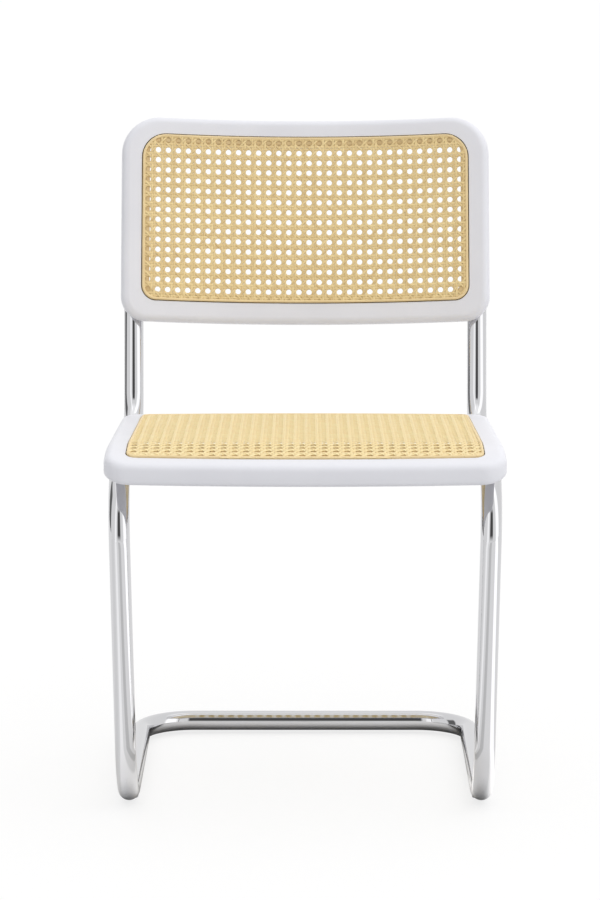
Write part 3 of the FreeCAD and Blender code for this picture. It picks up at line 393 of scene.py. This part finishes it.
def back_hole(out):
    """Outline of the back's opening, widened by out; the lips on the stiles are narrower."""
    step = CHANNEL_WIDTH + LIP_WIDTH - out
    return back_outline(BACK_SIDE_FACE + CHANNEL_WIDTH + STILE_LIP_WIDTH - out, BACK_FOOT_FACE + step,
                        BACK_TOP_FACE + step, BACK_HOLE_CORNER + out, BACK_HOLE_CORNER + out)


# Rows of the frames' sections: loops of points, each with its own inset and depth

def layer(loop, depth):
    """Heights above the seat's top plane of a surface that lies a depth below its bent top."""
    inside = np.maximum(SEAT_BEND_REACH - loop[:, 1], 0)
    return np.sqrt((SEAT_BEND_RADIUS - depth) ** 2 - inside ** 2) - SEAT_BEND_RADIUS


def seat_row(loop, depth):
    """One loop of the seat frame's surface at a depth below its bent top."""
    return seat_place(loop[:, 0], loop[:, 1], layer(loop, depth))


def back_row(loop, depth):
    """One loop of the back frame's surface at a depth behind its hollow front face."""
    return back_place(loop[:, 0], loop[:, 1], BACK_RADIUS + depth)


def seat_rounded_row(radius, share, upper):
    """One loop on the rounding between the seat's upright edge and its top or underside. The side
    view at each point of the loop is an arc that touches the edge and the face's local slope."""
    outer = seat_outline(0, 0, 0, SEAT_CORNER)
    inner = seat_outline(radius, radius, radius, SEAT_CORNER - radius)
    inwards = (inner - outer) / np.linalg.norm(inner - outer, axis=1)[:, None]
    face_depth = 0.0 if upper else SEAT_THICKNESS
    middle = outer + inwards * radius / 2
    inside = np.maximum(SEAT_BEND_REACH - middle[:, 1], 0)
    rise = inside / np.sqrt((SEAT_BEND_RADIUS - face_depth) ** 2 - inside ** 2) * inwards[:, 1]
    length = np.sqrt(1 + rise ** 2)
    turn = (np.arctan2(1, rise) if upper else -np.arctan2(1, -rise)) * share
    centre = rise * radius + (-length if upper else length) * radius
    inset = radius - radius * np.cos(turn)
    height = centre + radius * np.sin(turn)
    below = rise * inset - height
    loop = outer + inwards * inset[:, None]
    z = layer(loop, face_depth) - below
    return seat_place(loop[:, 0], loop[:, 1], z)


def back_rounded_row(angle):
    """Loop and depth on the rounding of the back's front edge, at an angle up to a quarter turn."""
    inset = BACK_ROUND * (1 - math.cos(angle))
    loop = back_outline(inset, inset, inset, BACK_TOP_CORNER - inset, BACK_FOOT_CORNER - inset)
    return loop, BACK_ROUND * (1 - math.sin(angle))


def groove_rows(row, inset):
    """Rows and kinds of the groove's softened outer edge, its walls and floor, and its inner edge."""
    chamfer = 0.3 * EDGE_SOFT
    steps = [(-2 * EDGE_SOFT, 0, PAINTED), (-EDGE_SOFT, 0, PAINTED), (-chamfer, chamfer, PAINTED),
             (0, EDGE_SOFT, GROOVE), (0, CHANNEL_DEPTH, GROOVE), (CHANNEL_WIDTH, CHANNEL_DEPTH, GROOVE),
             (CHANNEL_WIDTH, EDGE_SOFT, BARE)]
    return [(row(inset(extra), depth), kind) for extra, depth, kind in steps]


def section_object(name, rows, materials):
    """A frame from its section's rows, each with the kind of the faces that follow it."""
    grid = np.array([row for row, _ in rows])
    kinds = np.repeat([kind for _, kind in rows], grid.shape[1])
    faces = grid_faces(len(grid), grid.shape[1], close_rows=True, close_columns=True)
    item = mesh_object(name, grid, faces, kinds)
    for material in materials:
        item.data.materials.append(material)
    return item


def build_seat_frame(materials):
    """The frame's section carried round the seat: rounded edge, top, groove, lip, opening, underside.
    Each row of the section is a loop with its own inset, and its depth follows the bent front."""
    rows = [(seat_rounded_row(SEAT_ROUND, share, True), PAINTED)
            for share in np.linspace(0, 1, ROUND_ROWS)]
    for share in SEAT_TOP_SHARES:
        insets = [SEAT_ROUND + share * (face - SEAT_ROUND)
                  for face in (SEAT_SIDE_FACE, SEAT_FRONT_FACE, SEAT_REAR_FACE)]
        loop = seat_outline(*insets, SEAT_CORNER - SEAT_ROUND - share * SEAT_TOP_CORNER_LOSS)
        rows.append((seat_row(loop, 0), PAINTED))
    rows += groove_rows(seat_row, seat_inset)
    lip_start, lip_end = seat_inset(CHANNEL_WIDTH + EDGE_SOFT), seat_hole(EDGE_SOFT)
    for share in np.linspace(0, 1, LIP_ROWS):
        rows.append((seat_row(lip_start + share * (lip_end - lip_start), 0), BARE))
    rows.append((seat_row(seat_hole(0), EDGE_SOFT), BARE))
    rows.append((seat_row(seat_hole(0), SEAT_THICKNESS / 2), PAINTED))
    for angle in np.linspace(0, math.pi / 2, HOLE_ROUND_ROWS):
        out = HOLE_ROUND * (1 - math.cos(angle))
        depth = SEAT_THICKNESS - HOLE_ROUND + HOLE_ROUND * math.sin(angle)
        rows.append((seat_row(seat_hole(out), depth), PAINTED))
    under_start = seat_hole(HOLE_ROUND)
    under_end = seat_outline(*[SEAT_UNDER_ROUND] * 3, SEAT_CORNER - SEAT_UNDER_ROUND)
    for share in np.linspace(0, 1, UNDERSIDE_ROWS)[1:-1]:
        rows.append((seat_row(under_start + share * (under_end - under_start), SEAT_THICKNESS), PAINTED))
    for share in np.linspace(1, 0, UNDER_ROUND_ROWS):
        rows.append((seat_rounded_row(SEAT_UNDER_ROUND, share, False), PAINTED))
    item = section_object("seat_frame", rows, materials)
    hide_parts("seat_front_rail", "seat_rear_rail", "seat_left_rail", "seat_right_rail")


def build_back_frame(materials):
    """The frame's section carried round the back: two rounded edges, groove, lip and opening.
    Each row of the section is a loop with its own inset, at its depth behind the hollow face."""
    quarter = np.linspace(0, math.pi / 2, ROUND_ROWS)
    face_loop = back_outline(*BACK_FACE_ROW)
    rows = [(back_row(*back_rounded_row(angle)), PAINTED) for angle in quarter]
    rows.append((back_row(face_loop, 0), PAINTED))
    rows += groove_rows(back_row, back_inset)
    rows.append((back_row(back_inset(CHANNEL_WIDTH + EDGE_SOFT), 0), BARE))
    rows.append((back_row(back_hole(EDGE_SOFT), 0), BARE))
    rows.append((back_row(back_hole(0), EDGE_SOFT), BARE))
    rows.append((back_row(back_hole(0), BACK_THICKNESS / 2), PAINTED))
    for angle in np.linspace(0, math.pi / 2, HOLE_ROUND_ROWS):
        out = HOLE_ROUND * (1 - math.cos(angle))
        depth = BACK_THICKNESS - HOLE_ROUND * (1 - math.sin(angle))
        rows.append((back_row(back_hole(out), depth), PAINTED))
    rows.append((back_row(face_loop, BACK_THICKNESS), PAINTED))
    for angle in quarter[::-1]:
        loop, depth = back_rounded_row(angle)
        rows.append((back_row(loop, BACK_THICKNESS - depth), PAINTED))
    item = section_object("back_frame", rows, materials)
    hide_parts("back_top_rail", "back_foot_rail", "back_left_stile", "back_right_stile")


def add_attribute(item, name, values):
    """A number per point, for the material to read."""
    attribute = item.data.attributes.new(name, "FLOAT", "POINT")
    attribute.data.foreach_set("value", np.asarray(values, np.float32).ravel())


def build_reed(name, inset_loop, row, node):
    """A domed strip in the groove: its section, flat below and rounded above, goes round the loop."""
    end = REED_START + REED_WIDTH
    shoulder = REED_ROUND - REED_PROUD
    section = [(REED_START, REED_DEPTH), (REED_START, REED_SIDE), (REED_START, shoulder)]
    for angle in np.linspace(0, math.pi, ROUND_ROWS)[1:-1]:
        across = REED_WIDTH / 2 * (1 - math.cos(angle))
        section.append((REED_START + across, shoulder - REED_ROUND * math.sin(angle)))
    section += [(end, shoulder), (end, REED_SIDE), (end, REED_DEPTH)]
    grid = np.array([row(inset_loop(inset), depth) for inset, depth in section])
    faces = grid_faces(len(grid), grid.shape[1], close_rows=True, close_columns=True)
    item = mesh_object(name, grid, faces)
    length = np.cumsum(np.linalg.norm(np.diff(grid[REED_MEASURED_ROW], axis=0), axis=1))
    length = np.concatenate([[0], length])
    add_attribute(item, "along", np.tile(length, len(grid)))
    add_attribute(item, "across", np.repeat([inset for inset, _ in section], grid.shape[1]))
    add_attribute(item, "tone", np.full(len(item.data.vertices), REED_TONE))
    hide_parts(node)
    return item


# Woven cane: pairs of upright and level strands and two diagonals, each strand a thin domed strip

def chord_ends(loop, origin, direction):
    """Where a line crosses a closed convex loop: the lowest and highest distance along the line."""
    normal = np.array([-direction[1], direction[0]])
    offset = (loop - origin) @ normal
    along = (loop - origin) @ direction
    offset_next, along_next = np.roll(offset, -1), np.roll(along, -1)
    crosses = (offset > 0) != (offset_next > 0)
    share = offset[crosses] / (offset[crosses] - offset_next[crosses])
    found = along[crosses] + share * (along_next[crosses] - along[crosses])
    return (found.min(), found.max()) if len(found) else None


def pair_lift(distance, side):
    """Height of a paired strand by its distance from the nearest crossing pair: it rises on one side
    of the crossing and dips on the other, u times the exponential of (1 - u squared) / 2."""
    u = ((distance / CANE_PITCH + 0.5) % 1 - 0.5) * CANE_PITCH / STRAND_STEP
    return side * STRAND_THICKNESS / 2 * u * np.exp((1 - u ** 2) / 2)


def diagonal_lift(distance, side):
    """Height of a diagonal: over one set of pairs and under the other, a flattened cosine."""
    wave = np.cos(2 * math.pi * distance / CANE_PITCH)
    reach = (STRAND_THICKNESS + DIAGONAL_THICKNESS) / 2
    return side * reach * np.tanh(DIAGONAL_FLATNESS * wave) / math.tanh(DIAGONAL_FLATNESS)


# A strand's section, as shares of half its width and of its thickness, and the quads that close it
SECTION = np.array([(-1.0, -0.4), (-0.62, -0.5), (0.62, -0.5), (1.0, -0.4), (1.0, 0.15), (0.55, 0.5),
                    (-0.55, 0.5), (-1.0, 0.15)])
CAPS = np.array([[0, 1, 2, 3], [0, 3, 4, 7], [7, 4, 5, 6]])


def strand_lines(phase):
    """Each family's strands: a point of the middle line, its direction, and which side goes up first."""
    families = {"upright": [], "level": [], "rising": [], "falling": []}
    slant = math.sqrt(0.5)
    for i in STRAND_NUMBERS:
        for side in (-1, 1):
            x = phase[0] + i * CANE_PITCH + side * STRAND_STEP
            y = phase[1] + i * CANE_PITCH + side * STRAND_STEP
            families["upright"].append(((x, phase[1]), (0, 1), side))
            families["level"].append(((phase[0], y), (1, 0), -side))
        between = phase[0] + (i + 0.5) * CANE_PITCH
        families["rising"].append(((between, phase[1]), (slant, slant), 1))
        families["falling"].append(((between, phase[1]), (-slant, slant), -1))
    return families


def weave(name, loop, phase, place, node, stretch=(1, 1), fullness=1.0):
    """Four families of strands on a sheet. Across a strand its section is a flat strip with a domed
    top, and along it the height is the weave's; place turns sheet coordinates into the chair's frame."""
    loop = loop / stretch
    sides = len(SECTION)
    random = np.random.default_rng(WEAVE_SEED)
    for family, strands in strand_lines(phase).items():
        diagonal = family in ("rising", "falling")
        width, thickness, reach = ((DIAGONAL_WIDTH, DIAGONAL_THICKNESS, math.sqrt(2)) if diagonal
                                   else (STRAND_WIDTH, STRAND_THICKNESS, 1))
        points, faces, count = [], [], 0
        values = {"tone": [], "along": [], "across": [], "edge": []}
        for origin, direction, side in strands:
            origin, direction = np.array(origin), np.array(direction, float)
            ends = chord_ends(loop, origin, direction)
            if ends is None or ends[1] - ends[0] < SHORTEST_STRAND:
                continue
            steps = int((ends[1] - ends[0]) / (CANE_PITCH * reach) * STRAND_STEPS_PER_PITCH)
            t = np.linspace(ends[0], ends[1], max(steps, FEWEST_STRAND_STEPS) + 1)
            sheet = origin + t[:, None] * direction
            lift = diagonal_lift(sheet[:, 0] - phase[0], side) if diagonal else pair_lift(t, side)
            swing = random.normal(0, STRAND_WANDER)
            wander = swing * np.sin(t / WANDER_WAVE + random.uniform(0, WANDER_TURN))
            own_width = width * fullness * (1 + random.normal(0, WIDTH_SPREAD))
            normal = np.array([-direction[1], direction[0]])
            across = SECTION[:, 0] * own_width / 2
            rows = sheet[:, None] + (across + wander[:, None])[..., None] * normal
            height = CANE_MIDDLE + lift[:, None] + SECTION[:, 1] * thickness
            placed = place(rows[..., 0] * stretch[0], rows[..., 1] * stretch[1], height)
            points.append(placed.reshape(-1, 3))
            faces.append(grid_faces(len(t), sides, close_columns=True, start=count))
            faces.append(count + CAPS[:, ::-1])
            faces.append(count + (len(t) - 1) * sides + CAPS)
            count += len(t) * sides
            values["tone"].append(np.full(len(t) * sides, random.uniform(0, 1)))
            values["along"].append(np.repeat(t, sides))
            values["across"].append(np.tile(across + side * STREAK_SHIFT, len(t)) + random.uniform(0, 1))
            values["edge"].append(np.tile(np.abs(SECTION[:, 0]), len(t)))
        item = mesh_object(f"{name}_{family}_strands", np.concatenate(points), np.concatenate(faces))
        for label, parts in values.items():
            add_attribute(item, label, np.concatenate(parts))
        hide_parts(node)
        yield item


def seat_sheet_place(x, along, height):
    """Seat cane's sheet: x across, and along the way over the surface from where the bend starts,
    negative on the bend."""
    turn = np.minimum(along, 0) / SEAT_BEND_RADIUS
    radius = SEAT_BEND_RADIUS + height
    y = SEAT_BEND_REACH + np.maximum(along, 0) + radius * np.sin(turn)
    z = radius * np.cos(turn) - SEAT_BEND_RADIUS
    return seat_place(x, y, z)


def seat_unrolled(loop):
    """A plan loop of the seat in the coordinates of its cane's sheet."""
    before = np.minimum(loop[:, 1] - SEAT_BEND_REACH, 0)
    along = np.where(before < 0, SEAT_BEND_RADIUS * np.arcsin(before / SEAT_BEND_RADIUS),
                     loop[:, 1] - SEAT_BEND_REACH)
    return np.stack([loop[:, 0], along], -1)


def back_sheet_place(along, height, out):
    """Back cane's sheet, out towards the sitter."""
    return back_place(along, height, BACK_RADIUS - out)


# Colours: one, or a dark and a light one that a material lies between
CHROME = (0.64, 0.64, 0.655)
LACQUER = (0.84, 0.843, 0.895), (0.865, 0.868, 0.918)
LEDGE_WOOD = (0.70, 0.50, 0.24), (0.82, 0.62, 0.33)
# Painted shade: the groove's dark colours stand in for the shadow in the narrow gap round the reed
GROOVE_PAINTED_SHADE = (0.13, 0.10, 0.07), (0.20, 0.15, 0.10)
# Painted light and shade: the seat's level and diagonal strands are lighter and its upright strands
# darker, to even out the light and dark bands that shading draws across the seat
SEAT_UPRIGHT_CANE_PAINTED_SHADE = (0.79, 0.59, 0.275), (0.935, 0.745, 0.395)
SEAT_CROSS_CANE_PAINTED_LIGHT = (0.95, 0.725, 0.355), (1.0, 0.855, 0.485)
BACK_CANE = (0.71, 0.495, 0.215), (1.0, 0.80, 0.42)
REED = (0.78, 0.58, 0.30), (0.98, 0.78, 0.44)
ZINC = (0.62, 0.62, 0.64)
BRASS = (0.80, 0.62, 0.30)
BLACK_PLASTIC = (0.03, 0.03, 0.033)
GREY_PLASTIC = (0.60, 0.61, 0.62)
BEECH = (0.62, 0.46, 0.26)

# Spans of a texture's values, or of the edge's share, that a look is spread over
NOISE_SPAN = (0.3, 0.7)
PATCH_SPAN = (0.2, 0.8)
STREAK_SPAN = (0.2, 0.75)
EDGE_SPAN = (0.6, 1.0)
WHOLE = (0.0, 1.0)

# Roughness, and how it spreads
CHROME_HAZE = (0.02, 0.045)
LACQUER_SHEEN = (0.34, 0.42)
WOOD_ROUGHNESS = 0.6
CANE_ROUGHNESS = 0.42
REED_ROUGHNESS = 0.45
SPECKLE_SHEEN = (0.85, 1.2)
SPECKLE_SHADE = 0.93

# Streaks, stains and tones of cane, and grain of wood: texture scales along and across, and weights
STREAK_SCALE = (40.0, 2600.0, 1.0)
STAIN_SCALE = (25.0, 60.0, 1.0)
GRAIN_SCALE = (30, 300, 300)
STREAK_WEIGHT = 0.55
STAIN_REACH = (0.0, 0.3)
TONE_WEIGHT = 0.25

# Floor: half its side, its tone for bounced light, the share of glow that the camera sees, and how far
# and how deeply its look in gloss darkens near what stands on it, a painted contact shadow
STAGE_HALF = 30.0
FLOOR_BOUNCE = 0.64
FLOOR_GLOW_SHARE = 0.75
CONTACT_SAMPLES = 8
CONTACT_REACH = 0.045
CONTACT_SPAN = (0.4, 0.9)
CONTACT_SHADE_TONES = (0.3, 1.0)

# Studio light: strength at the horizon, growth upwards and towards +X; its plain look in gloss, and the
# shares of a shape's half width at which it begins and is full
LIGHT_BASE = 0.51
LIGHT_RISE = 0.81
LIGHT_SIDE = 0.38
GLOSS_BASE = 0.96
SOFT_EDGE = (1.2, 0.8)

# Shapes seen in gloss: azimuth from the front towards +X, half width, elevation and half height in
# degrees, and how much lighter the shape is; the floor's shapes have no elevation
FLOOR_SHAPES = [(60, 14, 0, 0, 0.62), (-38, 9, 0, 0, 0.26), (-2, 11, 0, 0, -0.27), (-72, 14, 0, 0, -0.08)]
STUDIO_SHAPES = [(0, 16, 25, 20, -0.87), (-110, 15, 14, 20, -0.8), (66, 18, 20, 60, 0.6),
                 (-37, 9, 20, 60, 0.4), (0, 180, 88, 28, 0.3)]

# Camera: distance from the seat's front edge, height, and angles from straight down and to a side
CAMERA_DISTANCE = 4.151
CAMERA_HEIGHT = 1.089
CAMERA_TILT = math.radians(81.15)
CAMERA_TURN = math.radians(0.083)
CAMERA_LENS = 146.2
CAMERA_SENSOR = 36
CAMERA_FAR = 60


# Materials

def new_material(name, colour, roughness, metallic=0.0):
    """A principled material, its node tree and its shader."""
    material = bpy.data.materials.new(name)
    material.use_nodes = True
    shader = material.node_tree.nodes["Principled BSDF"]
    shader.inputs["Base Color"].default_value = (*colour, 1)
    shader.inputs["Roughness"].default_value = roughness
    shader.inputs["Metallic"].default_value = metallic
    return material, material.node_tree, shader


def add_node(tree, kind, settings=None, inputs=None):
    """One node with its settings and its input numbers or links."""
    made = tree.nodes.new(kind)
    for name, value in (settings or {}).items():
        setattr(made, name, value)
    for name, value in (inputs or {}).items():
        if isinstance(value, bpy.types.NodeSocket):
            tree.links.new(value, made.inputs[name])
        else:
            made.inputs[name].default_value = value
    return made


def computed(tree, operation, *values):
    """A number worked out from others by one operation."""
    inputs = dict(enumerate(values))
    return add_node(tree, "ShaderNodeMath", {"operation": operation}, inputs).outputs["Value"]


def object_place(tree):
    """The place on the object, in metres."""
    return add_node(tree, "ShaderNodeTexCoord").outputs["Object"]


def attribute(tree, name):
    """A number that the mesh carries at each point."""
    return add_node(tree, "ShaderNodeAttribute", {"attribute_name": name}).outputs["Fac"]


def stretched(tree, vector, factors):
    """A vector with each part multiplied by its own factor."""
    return add_node(tree, "ShaderNodeVectorMath", {"operation": "MULTIPLY"},
                    {0: vector, 1: factors}).outputs["Vector"]


def noise(tree, vector, scale=1.0, detail=3.0, roughness=0.5):
    """Cloudy values about one half."""
    inputs = {"Vector": vector, "Scale": scale, "Detail": detail, "Roughness": roughness}
    return add_node(tree, "ShaderNodeTexNoise", None, inputs).outputs["Fac"]


def mapped(tree, value, span, reach):
    """A number carried from one span to another and held at the ends."""
    inputs = {"Value": value, "From Min": span[0], "From Max": span[1], "To Min": reach[0],
              "To Max": reach[1]}
    return add_node(tree, "ShaderNodeMapRange", None, inputs).outputs["Result"]


def ramp(tree, value, span, colours):
    """A colour between a dark and a light one, over a span of the value."""
    made = add_node(tree, "ShaderNodeValToRGB", None, {"Fac": value})
    for element, position, colour in zip(made.color_ramp.elements, span, colours):
        element.position = position
        element.color = (*colour, 1)
    return made.outputs["Color"]


def add_bump(tree, shader, height, strength, distance):
    """Fine relief in the shading, from a height."""
    bump = add_node(tree, "ShaderNodeBump", None,
                    {"Strength": strength, "Distance": distance, "Height": height})
    tree.links.new(bump.outputs["Normal"], shader.inputs["Normal"])


def chrome_material():
    """Bright plating: near mirror, with the faint haze and ripple of a polished bent tube."""
    material, tree, shader = new_material("chrome", CHROME, CHROME_HAZE[0], metallic=1.0)
    place = object_place(tree)
    haze = noise(tree, place, scale=60.0)
    tree.links.new(mapped(tree, haze, NOISE_SPAN, CHROME_HAZE), shader.inputs["Roughness"])
    ripple = noise(tree, place, scale=25.0, detail=1.0)
    add_bump(tree, shader, ripple, strength=0.02, distance=0.001)
    return material


def paint_material():
    """White satin lacquer over close-grained wood: a whisper of cloud and orange peel."""
    material, tree, shader = new_material("white_lacquer", LACQUER[1], LACQUER_SHEEN[0])
    place = object_place(tree)
    peel = noise(tree, place, scale=900.0, detail=2.0)
    cloud = noise(tree, place, scale=14.0, detail=2.0)
    tree.links.new(ramp(tree, cloud, NOISE_SPAN, LACQUER), shader.inputs["Base Color"])
    tree.links.new(mapped(tree, cloud, NOISE_SPAN, LACQUER_SHEEN), shader.inputs["Roughness"])
    add_bump(tree, shader, peel, strength=0.06, distance=0.0002)
    return material


def wood_or_painted_shade_material(name, colours):
    """Wood with fine grain: unpainted wood on the lip, and dark painted shade in the groove."""
    material, tree, shader = new_material(name, colours[1], WOOD_ROUGHNESS)
    mapping = add_node(tree, "ShaderNodeMapping", None,
                       {"Vector": object_place(tree), "Scale": GRAIN_SCALE})
    grain = noise(tree, mapping.outputs["Vector"], detail=4.0)
    tree.links.new(ramp(tree, grain, NOISE_SPAN, colours), shader.inputs["Base Color"])
    return material


def fibre_material(name, colours, roughness, painted_edge_shade=1.0):
    """Cane or reed: each strand has its own tone, with fine streaks along it, small stains, and
    painted shade that darkens its edges to painted_edge_shade."""
    material, tree, shader = new_material(name, colours[1], roughness)
    vector = add_node(tree, "ShaderNodeCombineXYZ", None,
                      {"X": attribute(tree, "along"), "Y": attribute(tree, "across")}).outputs["Vector"]
    streak = noise(tree, stretched(tree, vector, STREAK_SCALE), roughness=0.6)
    patch = noise(tree, stretched(tree, vector, STAIN_SCALE), detail=2.0)
    stain = mapped(tree, patch, PATCH_SPAN, STAIN_REACH)
    streaked = computed(tree, "MULTIPLY_ADD", streak, STREAK_WEIGHT, stain)
    toned = computed(tree, "MULTIPLY_ADD", attribute(tree, "tone"), TONE_WEIGHT, streaked)
    colour = ramp(tree, toned, STREAK_SPAN, colours)
    # Painted shade: the colour darkens towards each strand's edges, as if its rounded sides were in
    # shadow
    shade = mapped(tree, attribute(tree, "edge"), EDGE_SPAN, (1.0, painted_edge_shade))
    colour_with_painted_shade = add_node(tree, "ShaderNodeVectorMath", {"operation": "SCALE"}, {0: colour, "Scale": shade})
    tree.links.new(colour_with_painted_shade.outputs["Vector"], shader.inputs["Base Color"])
    add_bump(tree, shader, streak, strength=0.25, distance=0.0002)
    return material


def plain_material(name, colour, roughness, metallic=0.0):
    """A moulded or turned piece with a fine surface grain."""
    material, tree, shader = new_material(name, colour, roughness, metallic)
    speckle = noise(tree, object_place(tree), scale=400.0)
    sheen = mapped(tree, speckle, NOISE_SPAN, [roughness * share for share in SPECKLE_SHEEN])
    tree.links.new(sheen, shader.inputs["Roughness"])
    darker = tuple(SPECKLE_SHADE * share for share in colour)
    tree.links.new(ramp(tree, speckle, NOISE_SPAN, (darker, colour)), shader.inputs["Base Color"])
    add_bump(tree, shader, speckle, strength=0.1, distance=0.0001)
    return material


# The groove's material is painted shade, not a wood colour
frame_materials = [paint_material(), wood_or_painted_shade_material("ledge_wood", LEDGE_WOOD),
                   wood_or_painted_shade_material("groove_painted_shade", GROOVE_PAINTED_SHADE)]
# The seat's two fibre materials are lit and shaded copies: painted shade on the upright strands, painted
# light on the others
upright_fibre_painted_shade = fibre_material("seat_cane_fibre", SEAT_UPRIGHT_CANE_PAINTED_SHADE, CANE_ROUGHNESS, painted_edge_shade=0.92)
cross_fibre_painted_light = fibre_material("seat_cross_fibre_painted_light", SEAT_CROSS_CANE_PAINTED_LIGHT, CANE_ROUGHNESS, painted_edge_shade=0.97)
back_fibre = fibre_material("back_cane_fibre", BACK_CANE, CANE_ROUGHNESS, painted_edge_shade=0.8)
reed_fibre = fibre_material("reed_fibre", REED, REED_ROUGHNESS)
zinc = plain_material("zinc", ZINC, roughness=0.28, metallic=1.0)
brass = plain_material("brass", BRASS, roughness=0.3, metallic=1.0)
black_plastic = plain_material("black_plastic", BLACK_PLASTIC, roughness=0.5)
grey_plastic = plain_material("grey_plastic", GREY_PLASTIC, roughness=0.5)
beech = plain_material("beech", BEECH, roughness=0.55)


# Pieces

build_tube().data.materials.append(chrome_material())
build_seat_frame(frame_materials)
build_back_frame(frame_materials)
build_reed("seat_reed", seat_inset, seat_row, "seat_spline").data.materials.append(reed_fibre)
build_reed("back_reed", back_inset, back_row, "back_spline").data.materials.append(reed_fibre)
for item in weave("back", back_inset(CANE_UNDER_REED), BACK_PHASE, back_sheet_place, "back_cane",
                  stretch=BACK_STRETCH):
    item.data.materials.append(back_fibre)
for item in weave("seat", seat_unrolled(seat_inset(CANE_UNDER_REED)), SEAT_PHASE, seat_sheet_place,
                  "seat_cane", fullness=SEAT_FULLNESS):
    item.data.materials.append(upright_fibre_painted_shade if "upright" in item.name else cross_fibre_painted_light)

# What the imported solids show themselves, by slot
finishes = {
    "dark_plastic": (black_plastic, ("left_tube_plug", "right_tube_plug")),
    "dowel_wood": (beech, ("seat_dowels", "back_dowels")),
    "zinc_steel": (zinc, ("seat_screws", "back_screws", "seat_washers", "back_washers")),
    "brass_thread": (brass, ("seat_inserts", "back_inserts")),
    "glide_plastic": (grey_plastic, ("front_left_glide", "front_right_glide", "rear_left_glide",
                                     "rear_right_glide")),
}
for slot_name, (material, names) in finishes.items():
    for name in names:
        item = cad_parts[name]
        for slot in item.material_slots:
            slot.material = material
        if not item.material_slots:
            item.data.materials.append(material)


# Floor, light and camera

def window(tree, value, centre, half):
    """One within half of the centre and nothing outside, both in degrees, with a soft edge."""
    off = computed(tree, "SUBTRACT", value, math.radians(centre))
    size = computed(tree, "ABSOLUTE", off)
    return mapped(tree, size, [math.radians(half) * edge for edge in SOFT_EDGE], WHOLE)


def gloss_look(tree, parts, shapes, elevation=None):
    """What gloss shows in a direction: pale, with soft shapes where their windows lie."""
    forward = computed(tree, "MULTIPLY", parts.outputs["Y"], -1.0)
    azimuth = computed(tree, "ARCTAN2", parts.outputs["X"], forward)
    look = GLOSS_BASE
    for centre, half, height, half_height, gain in shapes:
        shape = window(tree, azimuth, centre, half)
        if elevation is not None:
            shape = computed(tree, "MULTIPLY", shape, window(tree, elevation, height, half_height))
        look = computed(tree, "MULTIPLY_ADD", shape, gain, look)
    return look


def build_floor():
    """A wide plane under the chair: white to the camera with a share left for shadow, pale in gloss with
    painted shade near what stands on it.
    """
    half = STAGE_HALF
    points = [(-half, -half, 0), (half, -half, 0), (half, half, 0), (-half, half, 0)]
    mesh = bpy.data.meshes.new("floor")
    mesh.from_pydata(points, [], [(0, 1, 2, 3)])
    item = bpy.data.objects.new("floor", mesh)
    bpy.context.scene.collection.objects.link(item)
    material = bpy.data.materials.new("pale_floor")
    material.use_nodes = True
    tree = material.node_tree
    tree.nodes.clear()
    path = add_node(tree, "ShaderNodeLightPath")
    seen, glossy = path.outputs["Is Camera Ray"], path.outputs["Is Glossy Ray"]
    parts = add_node(tree, "ShaderNodeSeparateXYZ", None, {"Vector": object_place(tree)})
    # Painted shade: in gloss the floor darkens where ambient occlusion finds the chair close by
    open_share = add_node(tree, "ShaderNodeAmbientOcclusion", {"samples": CONTACT_SAMPLES},
                          {"Distance": CONTACT_REACH}).outputs["AO"]
    painted_contact_shade = mapped(tree, open_share, CONTACT_SPAN, CONTACT_SHADE_TONES)
    look = computed(tree, "MULTIPLY", gloss_look(tree, parts, FLOOR_SHAPES), painted_contact_shade)
    tone = mapped(tree, glossy, WHOLE, (FLOOR_BOUNCE, look))
    tone = mapped(tree, seen, WHOLE, (tone, 1.0))
    matt = add_node(tree, "ShaderNodeBsdfDiffuse", None, {"Color": tone})
    glow = add_node(tree, "ShaderNodeEmission", None, {"Strength": 1.0})
    share = computed(tree, "MULTIPLY", seen, FLOOR_GLOW_SHARE)
    mixed = add_node(tree, "ShaderNodeMixShader", None,
                     {"Fac": share, 1: matt.outputs["BSDF"], 2: glow.outputs["Emission"]})
    add_node(tree, "ShaderNodeOutputMaterial", None, {"Surface": mixed.outputs["Shader"]})
    item.data.materials.append(material)


def build_world():
    """Pale studio: white to the camera, light mostly from above and from +X, its own look in gloss."""
    world = bpy.data.worlds.new("studio")
    bpy.context.scene.world = world
    world.use_nodes = True
    tree = world.node_tree
    background = tree.nodes["Background"]
    path = add_node(tree, "ShaderNodeLightPath")
    way = add_node(tree, "ShaderNodeTexCoord").outputs["Generated"]
    parts = add_node(tree, "ShaderNodeSeparateXYZ", None, {"Vector": way})
    above = computed(tree, "MULTIPLY_ADD", parts.outputs["Z"], LIGHT_RISE, LIGHT_BASE)
    light = computed(tree, "MULTIPLY_ADD", parts.outputs["X"], LIGHT_SIDE, above)
    elevation = computed(tree, "ARCSINE", parts.outputs["Z"])
    look = gloss_look(tree, parts, STUDIO_SHAPES, elevation)
    glossy = add_node(tree, "ShaderNodeMix", {"data_type": "FLOAT"},
                      {"Factor": path.outputs["Is Glossy Ray"], "A": light, "B": look})
    seen = add_node(tree, "ShaderNodeMix", {"data_type": "FLOAT"},
                    {"Factor": path.outputs["Is Camera Ray"], "A": glossy.outputs["Result"], "B": 1.0})
    background.inputs["Color"].default_value = (1, 1, 1, 1)
    tree.links.new(seen.outputs["Result"], background.inputs["Strength"])


build_floor()
build_world()

camera_data = bpy.data.cameras.new("camera")
camera_data.lens = CAMERA_LENS
camera_data.sensor_width = CAMERA_SENSOR
camera_data.clip_end = CAMERA_FAR
camera = bpy.data.objects.new("camera", camera_data)
camera.location = (0, CENTRING - CAMERA_DISTANCE, CAMERA_HEIGHT)
camera.rotation_euler = (CAMERA_TILT, 0, CAMERA_TURN)
scene = bpy.context.scene
scene.collection.objects.link(camera)
scene.camera = camera
scene.view_settings.view_transform = "Standard"
